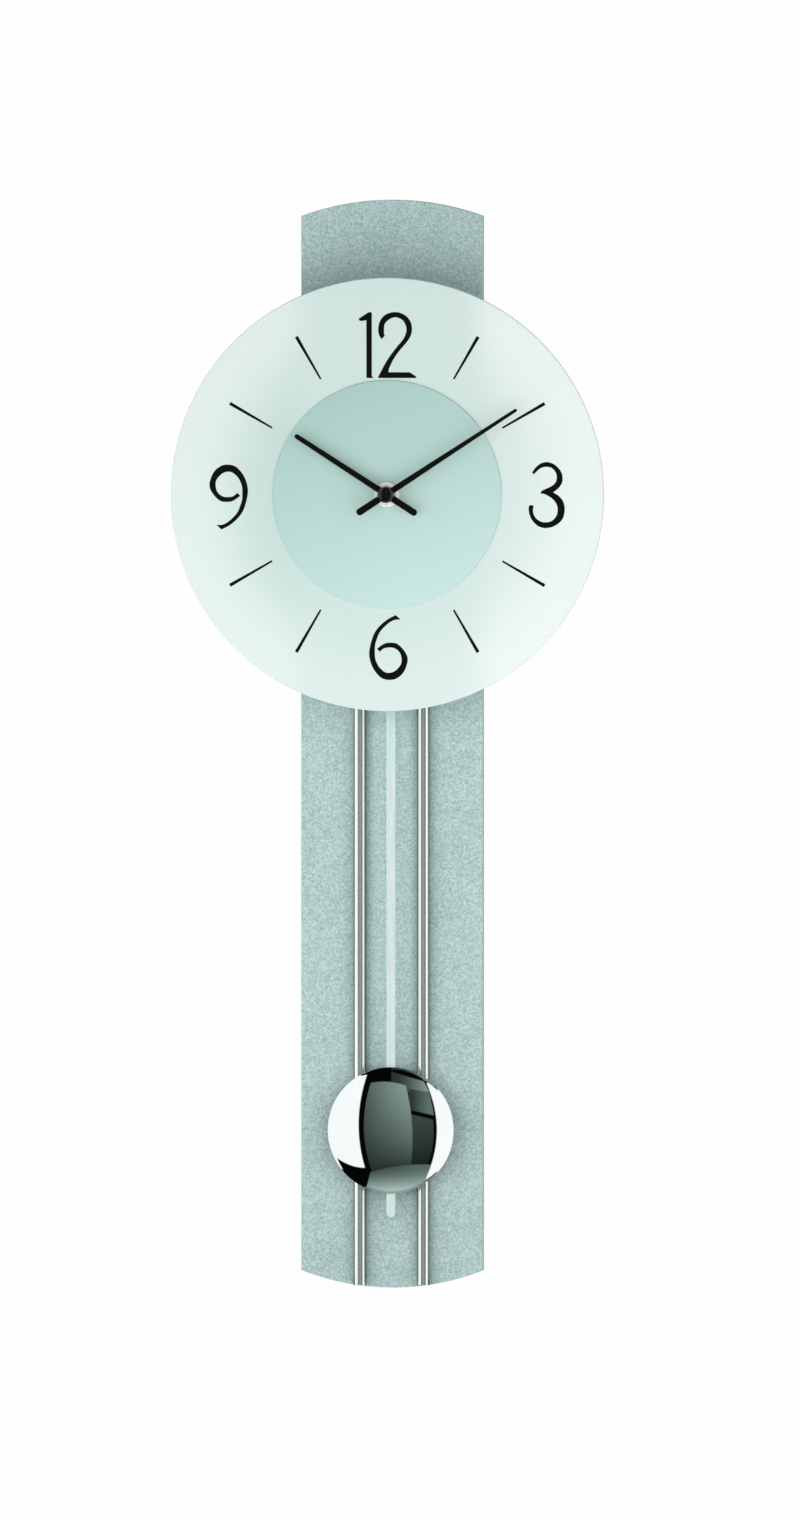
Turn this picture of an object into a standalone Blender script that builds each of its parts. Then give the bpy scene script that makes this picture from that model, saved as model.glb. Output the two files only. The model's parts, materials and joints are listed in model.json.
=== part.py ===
"""Pendulum wall clock: a glass dial in front of a tall lacquered panel, with a quartz pendulum movement.

Each piece is drawn as the clock is seen: x to the right and y up from the dial's axis, z from the wall
towards the viewer. One empty stands the drawing up, so that the clock faces -Y and hangs from the origin,
a point on the back face of its hanger plate. All lengths are in metres.
"""

import math

import bmesh
import bpy
from mathutils import Matrix

# Panel
HANG_HEIGHT = 0.140  # from the dial's axis up to the origin, on the hanger plate
PANEL_WIDTH = 0.1137
PANEL_TOP = 0.1834
PANEL_BOTTOM = -0.4966
PANEL_TOP_ARC = 0.1642
PANEL_BOTTOM_ARC = 0.1548
PANEL_THICKNESS = 0.012
WINDOW_HALF_WIDTH = 0.032
WINDOW_HALF_HEIGHT = 0.050
WINDOW_CORNER = 0.006
HANGER_THICKNESS = 0.0020
HANGER_HALF_WIDTH = 0.022
HANGER_RISE = 0.005  # of the plate's top above the origin
HANGER_DROP = 0.026  # of its bottom below the origin
HANGER_SCREW_X = 0.016
HANGER_SCREW_DROP = 0.010

# Trim rods
ROD_RADIUS = 0.0040
ROD_X = 0.0198
ROD_TOP = -0.062
ROD_BOTTOM = -0.4948
ROD_SCREW_HEIGHTS = (-0.080, -0.470)

# Frame that carries the dial
PILLAR_X = 0.042
PILLAR_HEIGHTS = (0.040, -0.048)
PILLAR_RADIUS = 0.0040
PLATE_BACK = 0.0523
PLATE_THICKNESS = 0.0015
PLATE_HALF_WIDTH = 0.048
PLATE_TOP = 0.046
PLATE_BOTTOM = -0.054

# Dial and its fastening
GLASS_RADIUS = 0.135
GLASS_BACK = 0.0554
GLASS_FRONT = 0.0594
DISC_RADIUS = 0.071
DISC_FRONT = 0.0605
BUSH_RADIUS = 0.0048
BUSH_FRONT = 0.0660
NUT_RADIUS = 0.0078
NUT_BACK = 0.0616
NUT_FRONT = 0.0646

# Hands: tip, tail, then half widths at the tail, the hub and the tip
HOUR_HAND = (0.0680, 0.0224, 0.0021, 0.0020, 0.0015)
MINUTE_HAND = (0.0973, 0.0217, 0.0022, 0.0020, 0.0010)
HOUR_HAND_BACK = 0.0668
MINUTE_HAND_BACK = 0.0712
HAND_THICKNESS = 0.0007
HOUR_HAND_ANGLE = math.radians(90 + 57.1)
MINUTE_HAND_ANGLE = math.radians(90 - 56.9)
CAP_RADIUS = 0.0050
CAP_BACK = 0.0722
CAP_FRONT = 0.0795

# Movement case
CASE_HALF_WIDTH = 0.033
CASE_TOP = 0.033
CASE_BOTTOM = -0.058
CASE_BACK = 0.028
CASE_SPLIT = 0.040
CASE_FRONT = 0.052
CASE_WALL = 0.0016
BATTERY_X = -0.0233
BATTERY_RADIUS = 0.0071

# Wheels: their sizes and the module of each pair
WHEEL_THICKNESS = 0.0012
PINION_LENGTH = 0.0016
PLAY = 0.00006  # added to each distance between axes
ROTOR_MODULE = 0.00040
SECOND_MODULE = 0.00055
SLOW_MODULE = 0.00045
MOTION_MODULE = 0.0005625
HOUR_MODULE = 0.00045
ARBOR_RADIUS = 0.0005
MINUTE_ARBOR_RADIUS = 0.0015
PIPE_RADIUS = 0.0027
PIVOT_HOLE_DEPTH = 0.0008  # left of the case's wall behind a pivot
PIVOT_END_PLAY = 0.00015

# Depths at which the wheels and their pinions start
CENTRE_WHEEL_BACK = 0.0420
THIRD_WHEEL_BACK = 0.0390
THIRD_PINION_BACK = 0.0418
SECOND_WHEEL_BACK = 0.0360
SECOND_PINION_BACK = 0.0388
INTERMEDIATE_WHEEL_BACK = 0.0332
INTERMEDIATE_PINION_BACK = 0.0358
ROTOR_PINION_BACK = 0.0330
CANNON_BACK = 0.0448
MOTION_WHEEL_BACK = 0.0450
HOUR_WHEEL_BACK = 0.0470

# Pendulum
PIVOT_HEIGHT = -0.016
PEG_HEIGHT = -0.064
STRIP_HALF_WIDTH = 0.0028
STRIP_BACK = 0.0225
STRIP_THICKNESS = 0.0012
STRIP_TIP = -0.4522
STRIP_HEAD = 0.0040  # radius of the eye at its top
MAGNET_HEIGHT = -0.044
BOB_HEIGHT = -0.3976
BOB_RADIUS = 0.0394
BOB_BACK = 0.0253
BOB_RISE = 0.0135
BOB_WALL = 0.0008

GAP = 0.0003  # between pieces that touch

FINISHES = {  # colour, roughness, metallic
    "lacquer": ((0.42, 0.56, 0.54), 0.35, 0.6),
    "chrome": ((0.80, 0.82, 0.82), 0.05, 1.0),
    "steel": ((0.50, 0.51, 0.52), 0.35, 1.0),
    "brass": ((0.80, 0.66, 0.40), 0.30, 1.0),
    "copper": ((0.72, 0.36, 0.20), 0.40, 1.0),
    "glass": ((0.80, 0.92, 0.89), 0.40, 0.0),
    "mint": ((0.50, 0.68, 0.63), 0.40, 0.3),
    "satin": ((0.66, 0.78, 0.75), 0.30, 0.8),
    "black metal": ((0.02, 0.02, 0.02), 0.40, 0.0),
    "black plastic": ((0.03, 0.03, 0.03), 0.50, 0.0),
    "white plastic": ((0.80, 0.80, 0.76), 0.45, 0.0),
    "rubber": ((0.02, 0.02, 0.02), 0.80, 0.0),
    "magnet": ((0.12, 0.12, 0.13), 0.45, 0.8),
    "board": ((0.03, 0.18, 0.08), 0.50, 0.0),
    "battery": ((0.10, 0.22, 0.42), 0.35, 0.2),
}

for old in list(bpy.data.objects):
    bpy.data.objects.remove(old)

parts = bpy.data.collections.new("pendulum_wall_clock")
cutters = bpy.data.collections.new("cutters")
bpy.context.scene.collection.children.link(parts)
bpy.context.scene.collection.children.link(cutters)


def add_empty(name, at=(0, 0, 0), parent=None):
    empty = bpy.data.objects.new(name, None)
    empty.empty_display_size = 0.02
    empty.location = at
    empty.parent = parent
    parts.objects.link(empty)
    return empty


stand = add_empty("clock", at=(0, 0, -HANG_HEIGHT))
stand.rotation_euler.x = math.pi / 2


# Outlines


def arc(centre, radius, start, end, steps):
    """Points from one angle to another, both in degrees."""
    angles = [math.radians(start + (end - start) * n / steps) for n in range(steps + 1)]
    return [(centre[0] + radius * math.cos(a), centre[1] + radius * math.sin(a)) for a in angles]


def circle(centre, radius, steps=24):
    return arc(centre, radius, 0, 360, steps)[:-1]


def rounded_box(left, right, bottom, top, corner, steps=4):
    points = []
    for x, y, start in (
        (right - corner, top - corner, 0),
        (left + corner, top - corner, 90),
        (left + corner, bottom + corner, 180),
        (right - corner, bottom + corner, 270),
    ):
        points += arc((x, y), corner, start, start + 90, steps)
    return points


def gear(teeth, module, phase=0.0):
    """Pointed teeth, narrower than their gaps, so that two wheels turn with play."""
    pitch_radius = teeth * module / 2
    root, tip = pitch_radius - 1.0 * module, pitch_radius + 0.75 * module
    step = 2 * math.pi / teeth
    points = []
    for n in range(teeth):
        for radius, share in ((root, -0.27), (tip, 0.0), (root, 0.27)):
            angle = phase + (n + share) * step
            points.append((radius * math.cos(angle), radius * math.sin(angle)))
    return points


def meshing_phase(phase, teeth, other_teeth, direction):
    """The other gear's phase, with a gap where this one has a tooth.

    The direction leads from this gear to the other, in radians.
    """
    place = (direction - phase) * teeth / (2 * math.pi) % 1
    return direction + math.pi - (0.5 - place) * 2 * math.pi / other_teeth


# Meshes and objects


def finish(mesh, name, kind):
    colour, roughness, metallic = FINISHES[kind]
    made = bpy.data.materials.new(name)
    made.use_nodes = True
    shader = made.node_tree.nodes["Principled BSDF"]
    shader.inputs["Base Color"].default_value = (*colour, 1.0)
    shader.inputs["Roughness"].default_value = roughness
    shader.inputs["Metallic"].default_value = metallic
    mesh.materials.append(made)


def add_object(name, mesh, kind, at=(0, 0, 0), parent=stand):
    """A piece of the clock, or a hidden helper where the kind is None."""
    obj = bpy.data.objects.new(name, mesh)
    obj.parent = parent
    obj.location = at
    if kind is None:
        obj.hide_render = True
        obj.display_type = "WIRE"
        cutters.objects.link(obj)
    else:
        finish(mesh, name, kind)
        parts.objects.link(obj)
    return obj


def mesh_from(name, fill):
    """A mesh filled by a function that takes its bmesh."""
    bm = bmesh.new()
    fill(bm)
    mesh = bpy.data.meshes.new(name)
    bm.to_mesh(mesh)
    bm.free()
    return mesh


def evaluated_mesh(name, curve):
    """A curve's mesh, with its caps welded to its sides."""
    guide = bpy.data.objects.new(name, curve)
    bpy.context.scene.collection.objects.link(guide)
    graph = bpy.context.evaluated_depsgraph_get()
    graph.update()
    mesh = bpy.data.meshes.new_from_object(guide.evaluated_get(graph))
    bpy.data.objects.remove(guide)
    bm = bmesh.new()
    bm.from_mesh(mesh)
    bmesh.ops.remove_doubles(bm, verts=bm.verts, dist=1e-6)
    bmesh.ops.recalc_face_normals(bm, faces=bm.faces)
    bmesh.ops.dissolve_limit(bm, angle_limit=1e-3, verts=bm.verts, edges=bm.edges)
    bm.to_mesh(mesh)
    bm.free()
    return mesh


def flat_mesh(name, outlines, back, front):
    """A plate between two depths. An outline inside another is a hole."""
    curve = bpy.data.curves.new(name, "CURVE")
    curve.dimensions = "2D"
    curve.fill_mode = "BOTH"
    curve.extrude = (front - back) / 2
    for outline in outlines:
        spline = curve.splines.new("POLY")
        spline.points.add(len(outline) - 1)
        spline.use_cyclic_u = True
        for point, (x, y) in zip(spline.points, outline):
            point.co = (x, y, 0, 1)
    mesh = evaluated_mesh(name, curve)
    mesh.transform(Matrix.Translation((0, 0, (back + front) / 2)))
    return mesh


def cylinders_mesh(name, cylinders, steps=20):
    """Cylinders and cones along z, each given as x, y, back radius, front radius, back and front."""

    def fill(bm):
        for x, y, back_radius, front_radius, back, front in cylinders:
            bmesh.ops.create_cone(
                bm,
                cap_ends=True,
                segments=steps,
                radius1=back_radius,
                radius2=front_radius,
                depth=front - back,
                matrix=Matrix.Translation((x, y, (back + front) / 2)),
            )

    return mesh_from(name, fill)


def boxes_mesh(name, boxes):
    """Boxes, each given as left, right, bottom, top, back and front."""

    def fill(bm):
        for left, right, bottom, top, back, front in boxes:
            size = Matrix.Diagonal((right - left, top - bottom, front - back, 1))
            middle = ((left + right) / 2, (bottom + top) / 2, (back + front) / 2)
            bmesh.ops.create_cube(bm, size=1, matrix=Matrix.Translation(middle) @ size)

    return mesh_from(name, fill)


def add_turned(name, profile, kind, at=(0, 0, 0), steps=32, parent=stand):
    """A shape turned about z from (radius, depth) points, which run down its outer side."""

    def fill(bm):
        points = [bm.verts.new((radius, 0, depth)) for radius, depth in profile]
        for first, second in zip(points, points[1:]):
            bm.edges.new((first, second))
        if profile[0][0] > 0:
            bm.edges.new((points[-1], points[0]))

    obj = add_object(name, mesh_from(name, fill), kind, at, parent)
    turn = obj.modifiers.new("turn", "SCREW")
    turn.axis = "Z"
    turn.steps = turn.render_steps = steps
    turn.use_merge_vertices = True
    turn.merge_threshold = 1e-5
    turn.use_smooth_shade = True
    return obj


def ring(inner, outer, back, front):
    """The profile of a ring or washer."""
    return [(outer, front), (outer, back), (inner, back), (inner, front)]


def boolean(obj, other, operation):
    modifier = obj.modifiers.new(other.name, "BOOLEAN")
    modifier.operation = operation
    modifier.object = other
    modifier.solver = "EXACT"


def cut(obj, mesh, at=(0, 0, 0), parent=stand):
    boolean(obj, add_object(mesh.name, mesh, None, at, parent), "DIFFERENCE")


def join(obj, mesh, at=(0, 0, 0), parent=stand):
    boolean(obj, add_object(mesh.name, mesh, None, at, parent), "UNION")


# Fasteners

SCREW_RADIUS = 0.0015
SCREW_HEAD_RADIUS = 0.0031
BORE_RADIUS = SCREW_RADIUS + GAP
COUNTERBORE = 0.0030


def add_screw(name, at, head, length, facing=1):
    """A pan-head screw whose head sits at a depth and whose shank runs away from the side it faces."""
    x, y, seat = at
    profile = [
        (0, length),
        (SCREW_RADIUS, length),
        (SCREW_RADIUS, 0),
        (SCREW_HEAD_RADIUS, 0),
        (SCREW_HEAD_RADIUS, -head * 0.6),
        (SCREW_HEAD_RADIUS * 0.6, -head),
        (0, -head),
    ]
    screw = add_turned(name, profile, "steel", at=(x, y, seat), steps=10)
    if facing < 0:
        screw.rotation_euler.x = math.pi
    return screw


# Panel, hanger and trim rods


def panel_outline():
    half = PANEL_WIDTH / 2
    top = math.degrees(math.asin(half / PANEL_TOP_ARC))
    bottom = math.degrees(math.asin(half / PANEL_BOTTOM_ARC))
    upper_centre = (0, PANEL_TOP - PANEL_TOP_ARC)
    lower_centre = (0, PANEL_BOTTOM + PANEL_BOTTOM_ARC)
    upper = arc(upper_centre, PANEL_TOP_ARC, 90 - top, 90 + top, 16)
    return upper + arc(lower_centre, PANEL_BOTTOM_ARC, 270 - bottom, 270 + bottom, 16)


def keyhole(bottom, hole, top, slot):
    """A round hole for the nail's head with a narrow slot above it."""
    meet = math.degrees(math.asin(slot / hole))
    return arc((0, bottom), hole, 90 + meet, 450 - meet, 16) + arc((0, top), slot, 0, 180, 6)


def add_panel():
    window = rounded_box(
        -WINDOW_HALF_WIDTH, WINDOW_HALF_WIDTH, -WINDOW_HALF_HEIGHT, WINDOW_HALF_HEIGHT, WINDOW_CORNER
    )
    places = [(x, y) for x in (-PILLAR_X, PILLAR_X) for y in PILLAR_HEIGHTS]
    places += [(x, y) for x in (-ROD_X, ROD_X) for y in ROD_SCREW_HEIGHTS]
    bores = [circle(place, BORE_RADIUS, 10) for place in places]
    mesh = flat_mesh("back_panel", [panel_outline(), window, *bores], 0, PANEL_THICKNESS)
    panel = add_object("back_panel", mesh, "lacquer")
    head = SCREW_HEAD_RADIUS + GAP
    counterbores = [(x, y, head, head, -0.002, COUNTERBORE) for x, y in places]
    cut(panel, cylinders_mesh("panel_counterbores", counterbores, 12))
    half = HANGER_HALF_WIDTH + GAP
    bottom, top = HANG_HEIGHT - HANGER_DROP - GAP, HANG_HEIGHT + HANGER_RISE + GAP
    recess = rounded_box(-half, half, bottom, top, 0.003 + GAP)
    cut(panel, flat_mesh("hanger_recess", [recess], -0.001, HANGER_THICKNESS + GAP))
    pocket = rounded_box(-0.0070, 0.0070, HANG_HEIGHT - 0.0230, HANG_HEIGHT - 0.0015, 0.0030)
    cut(panel, flat_mesh("nail_head_pocket", [pocket], 0.001, 0.0095))
    height = HANG_HEIGHT - HANGER_SCREW_DROP
    wood = [(x, height, 0.0014, 0.0014, 0.001, 0.0098) for x in (-HANGER_SCREW_X, HANGER_SCREW_X)]
    cut(panel, cylinders_mesh("hanger_screw_holes", wood, 8))


def add_hanger():
    bottom, top = HANG_HEIGHT - HANGER_DROP, HANG_HEIGHT + HANGER_RISE
    outline = rounded_box(-HANGER_HALF_WIDTH, HANGER_HALF_WIDTH, bottom, top, 0.003)
    hole = keyhole(HANG_HEIGHT - 0.0165, 0.0048, HANG_HEIGHT - 0.0062, 0.0023)
    mesh = flat_mesh("hanger_plate", [outline, hole], 0, HANGER_THICKNESS)
    plate = add_object("hanger_plate", mesh, "steel")
    height, sides = HANG_HEIGHT - HANGER_SCREW_DROP, (("left", -HANGER_SCREW_X), ("right", HANGER_SCREW_X))
    sinks = [(x, height, 0.0037, 0.0014, -GAP, HANGER_THICKNESS + GAP) for _, x in sides]
    cut(plate, cylinders_mesh("hanger_countersinks", sinks, 16))
    profile = [(0, 0.0090), (0.0011, 0.0075), (0.0011, 0.0020), (0.0028, 0.0003), (0, 0.0003)]
    for side, x in sides:
        add_turned(f"hanger_screw_{side}", profile, "steel", at=(x, height, 0), steps=10)


def add_trim_rods():
    middle = PANEL_THICKNESS + GAP + ROD_RADIUS
    for side, x in (("left", -ROD_X), ("right", ROD_X)):
        length = ROD_TOP - ROD_BOTTOM
        mesh = cylinders_mesh(f"trim_rod_{side}", [(0, 0, ROD_RADIUS, ROD_RADIUS, 0, length)], 24)
        rod = add_object(f"trim_rod_{side}", mesh, "chrome", at=(x, ROD_BOTTOM, middle))
        rod.rotation_euler.x = -math.pi / 2
        holes = [(x, y, BORE_RADIUS, BORE_RADIUS, 0.010, 0.0172) for y in ROD_SCREW_HEIGHTS]
        cut(rod, cylinders_mesh(f"trim_rod_{side}_holes", holes, 10))
        for place, y in zip(("upper", "lower"), ROD_SCREW_HEIGHTS):
            add_screw(f"rod_screw_{side}_{place}", (x, y, COUNTERBORE - GAP), 0.0020, 0.0140)


# Frame behind the dial


def add_pillars():
    front = PLATE_BACK - GAP
    for side, x in (("left", -PILLAR_X), ("right", PILLAR_X)):
        for place, y in zip(("upper", "lower"), PILLAR_HEIGHTS):
            name = f"pillar_{side}_{place}"
            back = PANEL_THICKNESS + GAP
            body = [(x, y, PILLAR_RADIUS, PILLAR_RADIUS, back, front)]
            pillar = add_object(name, cylinders_mesh(name, body, 16), "steel")
            holes = [
                (x, y, BORE_RADIUS, BORE_RADIUS, back - 0.001, back + 0.009),
                (x, y, BORE_RADIUS, BORE_RADIUS, front - 0.009, front + 0.001),
            ]
            cut(pillar, cylinders_mesh(f"{name}_holes", holes, 10))
            add_screw(f"pillar_screw_{side}_{place}", (x, y, COUNTERBORE - GAP), 0.0020, 0.0175)
            seat = PLATE_BACK + PLATE_THICKNESS + GAP
            add_screw(f"plate_screw_{side}_{place}", (x, y, seat), 0.0009, 0.0090, facing=-1)


def add_mounting_plate():
    outline = rounded_box(-PLATE_HALF_WIDTH, PLATE_HALF_WIDTH, PLATE_BOTTOM, PLATE_TOP, 0.010, 6)
    holes = [circle((0, 0), BUSH_RADIUS + GAP, 24)]
    holes += [circle((x, y), BORE_RADIUS, 10) for x in (-PILLAR_X, PILLAR_X) for y in PILLAR_HEIGHTS]
    mesh = flat_mesh("mounting_plate", [outline, *holes], PLATE_BACK, PLATE_BACK + PLATE_THICKNESS)
    add_object("mounting_plate", mesh, "steel")


# Dial


def add_dial():
    bore = BUSH_RADIUS + GAP
    seat = PLATE_BACK + PLATE_THICKNESS + GAP
    add_turned("rubber_washer", ring(bore, 0.0120, seat, GLASS_BACK - GAP), "rubber", steps=20)
    glass = ring(bore, GLASS_RADIUS, GLASS_BACK, GLASS_FRONT)
    add_turned("dial_glass", glass, "glass", steps=80)
    disc = ring(bore, DISC_RADIUS, GLASS_FRONT + GAP, DISC_FRONT)
    add_turned("centre_disc", disc, "mint", steps=60)
    washer = ring(bore, 0.0074, DISC_FRONT + GAP, NUT_BACK - GAP)
    add_turned("front_washer", washer, "steel", steps=20)
    nut = add_turned("round_nut", ring(bore, NUT_RADIUS, NUT_BACK, NUT_FRONT), "brass", steps=28)
    slot = (-0.0008, 0.0008, -0.009, 0.009, NUT_FRONT - 0.0012, NUT_FRONT + 0.001)
    cut(nut, boxes_mesh("nut_slots", [slot]))


def add_bush():
    bore = PIPE_RADIUS + GAP
    profile = [
        (BUSH_RADIUS, BUSH_FRONT),
        (BUSH_RADIUS, 0.0501),
        (0.0070, 0.0501),
        (0.0070, 0.0490),
        (bore, 0.0490),
        (bore, BUSH_FRONT),
    ]
    add_turned("threaded_bush", profile, "brass", steps=20)


# Hands


def hand_outline(lengths):
    """A straight bar with round ends that narrows from its tail to its tip. It points along +x."""
    tip, tail, tail_half, hub_half, tip_half = lengths
    points = arc((tip - tip_half, 0), tip_half, -90, 90, 6)
    points += [(0, hub_half)]
    points += arc((-tail + tail_half, 0), tail_half, 90, 270, 6)
    points += [(0, -hub_half)]
    return points


def add_hand(name, lengths, back, angle, hub, bore, parent):
    mesh = flat_mesh(name, [hand_outline(lengths)], back, back + HAND_THICKNESS)
    hand = add_object(name, mesh, "black metal", parent=parent)
    hand.rotation_euler.z = angle
    boss = [(0, 0, hub, hub, back - 0.0006, back + HAND_THICKNESS + 0.0002)]
    join(hand, cylinders_mesh(f"{name}_boss", boss, 16), parent=parent)
    hole = [(0, 0, bore, bore, back - 0.002, back + 0.002)]
    cut(hand, cylinders_mesh(f"{name}_bore", hole, 16), parent=parent)


def add_hand_cap(parent):
    rise, bore, socket = CAP_FRONT - CAP_BACK, MINUTE_ARBOR_RADIUS + GAP, CAP_BACK + 0.0025
    dome = [
        (CAP_RADIUS * math.sin(a), CAP_BACK + rise * (0.62 + 0.38 * math.cos(a)))
        for a in [math.radians(22.5 * n) for n in range(5)]
    ]
    profile = dome + [(CAP_RADIUS, CAP_BACK), (bore, CAP_BACK), (bore, socket), (0, socket)]
    add_turned("hand_cap", profile, "black metal", steps=24, parent=parent)


# Wheels

THIRD_AT = math.radians(70)  # each direction leads from one axis of the train to the next
SECOND_AT = math.radians(-10)
INTERMEDIATE_AT = math.radians(-60)
ROTOR_AT = math.radians(-100)
MOTION_AT = math.radians(135)
KNOB_AT = math.radians(110)


def step_from(place, direction, teeth, other_teeth, module):
    """Where the next axis lies, so that the two gears mesh."""
    distance = (teeth + other_teeth) * module / 2 + PLAY
    return (place[0] + distance * math.cos(direction), place[1] + distance * math.sin(direction))


CENTRE = (0.0, 0.0)
THIRD = step_from(CENTRE, THIRD_AT, 48, 6, SLOW_MODULE)
SECOND = step_from(THIRD, SECOND_AT, 45, 6, SLOW_MODULE)
INTERMEDIATE = step_from(SECOND, INTERMEDIATE_AT, 30, 6, SECOND_MODULE)
ROTOR = step_from(INTERMEDIATE, ROTOR_AT, 36, 6, ROTOR_MODULE)
MOTION = step_from(CENTRE, MOTION_AT, 8, 24, MOTION_MODULE)
KNOB = step_from(MOTION, KNOB_AT, 24, 8, MOTION_MODULE)
PIVOTS_BACK = CASE_BACK + PIVOT_HOLE_DEPTH + PIVOT_END_PLAY
PIVOTS_FRONT = CASE_FRONT - PIVOT_HOLE_DEPTH - PIVOT_END_PLAY


def pinion_mesh(name, teeth, module, phase, back):
    return flat_mesh(name, [gear(teeth, module, phase)], back, back + PINION_LENGTH)


def arbor_mesh(name, radius, back, front, steps=10):
    return cylinders_mesh(name, [(0, 0, radius, radius, back, front)], steps)


def add_wheel(name, place, wheel, pinion):
    """A moulded wheel with its pinion and its arbor. Each gear is given as teeth, module, phase and back."""
    axis = add_empty(f"{name}_axis", at=(*place, 0), parent=stand)
    teeth, module, phase, back = wheel
    mesh = flat_mesh(name, [gear(teeth, module, phase)], back, back + WHEEL_THICKNESS)
    made = add_object(name, mesh, "white plastic", parent=axis)
    join(made, pinion_mesh(f"{name}_pinion", *pinion), parent=axis)
    arbor = arbor_mesh(f"{name}_arbor", 0.0007, min(back, pinion[3]) + 0.0004, pinion[3] + 0.0004)
    join(made, arbor, parent=axis)
    ends = arbor_mesh(f"{name}_pivots", ARBOR_RADIUS, PIVOTS_BACK, PIVOTS_FRONT)
    join(made, ends, parent=axis)
    return axis


def add_going_train():
    """Rotor to centre wheel. The phases are worked out from the centre wheel outwards."""
    third = meshing_phase(0.0, 48, 6, THIRD_AT)
    second = meshing_phase(third, 45, 6, SECOND_AT)
    intermediate = meshing_phase(second, 30, 6, INTERMEDIATE_AT)
    rotor = meshing_phase(intermediate, 36, 6, ROTOR_AT)
    centre_axis = add_empty("centre_wheel_axis", at=(*CENTRE, 0), parent=stand)
    hole = circle(CENTRE, MINUTE_ARBOR_RADIUS + GAP, 16)
    front = CENTRE_WHEEL_BACK + WHEEL_THICKNESS
    mesh = flat_mesh("centre_wheel", [gear(48, SLOW_MODULE), hole], CENTRE_WHEEL_BACK, front)
    add_object("centre_wheel", mesh, "white plastic", parent=centre_axis)
    add_wheel(
        "third_wheel",
        THIRD,
        (45, SLOW_MODULE, third, THIRD_WHEEL_BACK),
        (6, SLOW_MODULE, third, THIRD_PINION_BACK),
    )
    add_wheel(
        "second_wheel",
        SECOND,
        (30, SECOND_MODULE, second, SECOND_WHEEL_BACK),
        (6, SLOW_MODULE, second, SECOND_PINION_BACK),
    )
    add_wheel(
        "intermediate_wheel",
        INTERMEDIATE,
        (36, ROTOR_MODULE, intermediate, INTERMEDIATE_WHEEL_BACK),
        (6, SECOND_MODULE, intermediate, INTERMEDIATE_PINION_BACK),
    )
    axis = add_empty("rotor_axis", at=(*ROTOR, 0), parent=stand)
    magnet = cylinders_mesh("rotor", [(0, 0, 0.003, 0.003, 0.0360, 0.0400)], 24)
    made = add_object("rotor", magnet, "magnet", parent=axis)
    join(made, pinion_mesh("rotor_pinion", 6, ROTOR_MODULE, rotor, ROTOR_PINION_BACK), parent=axis)
    ends = arbor_mesh("rotor_pivots", ARBOR_RADIUS, PIVOTS_BACK, PIVOTS_FRONT)
    join(made, ends, parent=axis)


def add_motion_work():
    """Minute arbor, motion wheel, hour wheel and the knob that sets them."""
    minute_axis = add_empty("minute_axis", at=(*CENTRE, 0), parent=stand)
    hour_axis = add_empty("hour_axis", at=(*CENTRE, 0), parent=stand)
    motion_axis = add_empty("motion_axis", at=(*MOTION, 0), parent=stand)
    knob_axis = add_empty("knob_axis", at=(*KNOB, 0), parent=stand)

    cannon = arbor_mesh("minute_arbor", MINUTE_ARBOR_RADIUS, PIVOTS_BACK, CAP_BACK + 0.0020, 16)
    arbor = add_object("minute_arbor", cannon, "steel", parent=minute_axis)
    join(arbor, pinion_mesh("minute_arbor_pinion", 8, MOTION_MODULE, 0.0, CANNON_BACK), parent=minute_axis)

    motion = meshing_phase(0.0, 8, 24, MOTION_AT)
    front = MOTION_WHEEL_BACK + WHEEL_THICKNESS
    mesh = flat_mesh("motion_wheel", [gear(24, MOTION_MODULE, motion)], MOTION_WHEEL_BACK, front)
    wheel = add_object("motion_wheel", mesh, "white plastic", parent=motion_axis)
    leaves = flat_mesh("motion_wheel_pinion", [gear(8, HOUR_MODULE, motion)], 0.0456, 0.0484)
    join(wheel, leaves, parent=motion_axis)
    cut(wheel, arbor_mesh("motion_wheel_bore", 0.0011, 0.0440, 0.0500), parent=motion_axis)

    hour = meshing_phase(motion, 8, 32, MOTION_AT + math.pi)
    front = HOUR_WHEEL_BACK + WHEEL_THICKNESS
    mesh = flat_mesh("hour_wheel", [gear(32, HOUR_MODULE, hour)], HOUR_WHEEL_BACK, front)
    wheel = add_object("hour_wheel", mesh, "white plastic", parent=hour_axis)
    join(wheel, arbor_mesh("hour_pipe", PIPE_RADIUS, 0.0474, HOUR_HAND_BACK + 0.0014, 20), parent=hour_axis)
    bore = MINUTE_ARBOR_RADIUS + GAP
    cut(wheel, arbor_mesh("hour_pipe_bore", bore, 0.0440, 0.0750, 16), parent=hour_axis)

    turn = meshing_phase(motion, 24, 8, KNOB_AT)
    mesh = flat_mesh("setting_knob", [gear(16, 0.00076)], 0.0220, 0.0268)
    knob = add_object("setting_knob", mesh, "black plastic", parent=knob_axis)
    join(knob, arbor_mesh("setting_knob_shaft", 0.0010, 0.0250, 0.0460, 16), parent=knob_axis)
    join(knob, pinion_mesh("setting_knob_pinion", 8, MOTION_MODULE, turn, CANNON_BACK), parent=knob_axis)
    return minute_axis, hour_axis


# Movement


def pivot_holes(name):
    """Blind holes for the wheels' pivots in both halves of the case."""
    hole = ARBOR_RADIUS + GAP
    back, front = CASE_BACK + PIVOT_HOLE_DEPTH, CASE_FRONT - PIVOT_HOLE_DEPTH
    places = (THIRD, SECOND, INTERMEDIATE, ROTOR)
    return cylinders_mesh(name, [(x, y, hole, hole, back, front) for x, y in places], 12)


def case_outline():
    return rounded_box(-CASE_HALF_WIDTH, CASE_HALF_WIDTH, CASE_BOTTOM, CASE_TOP, 0.004)


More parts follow.
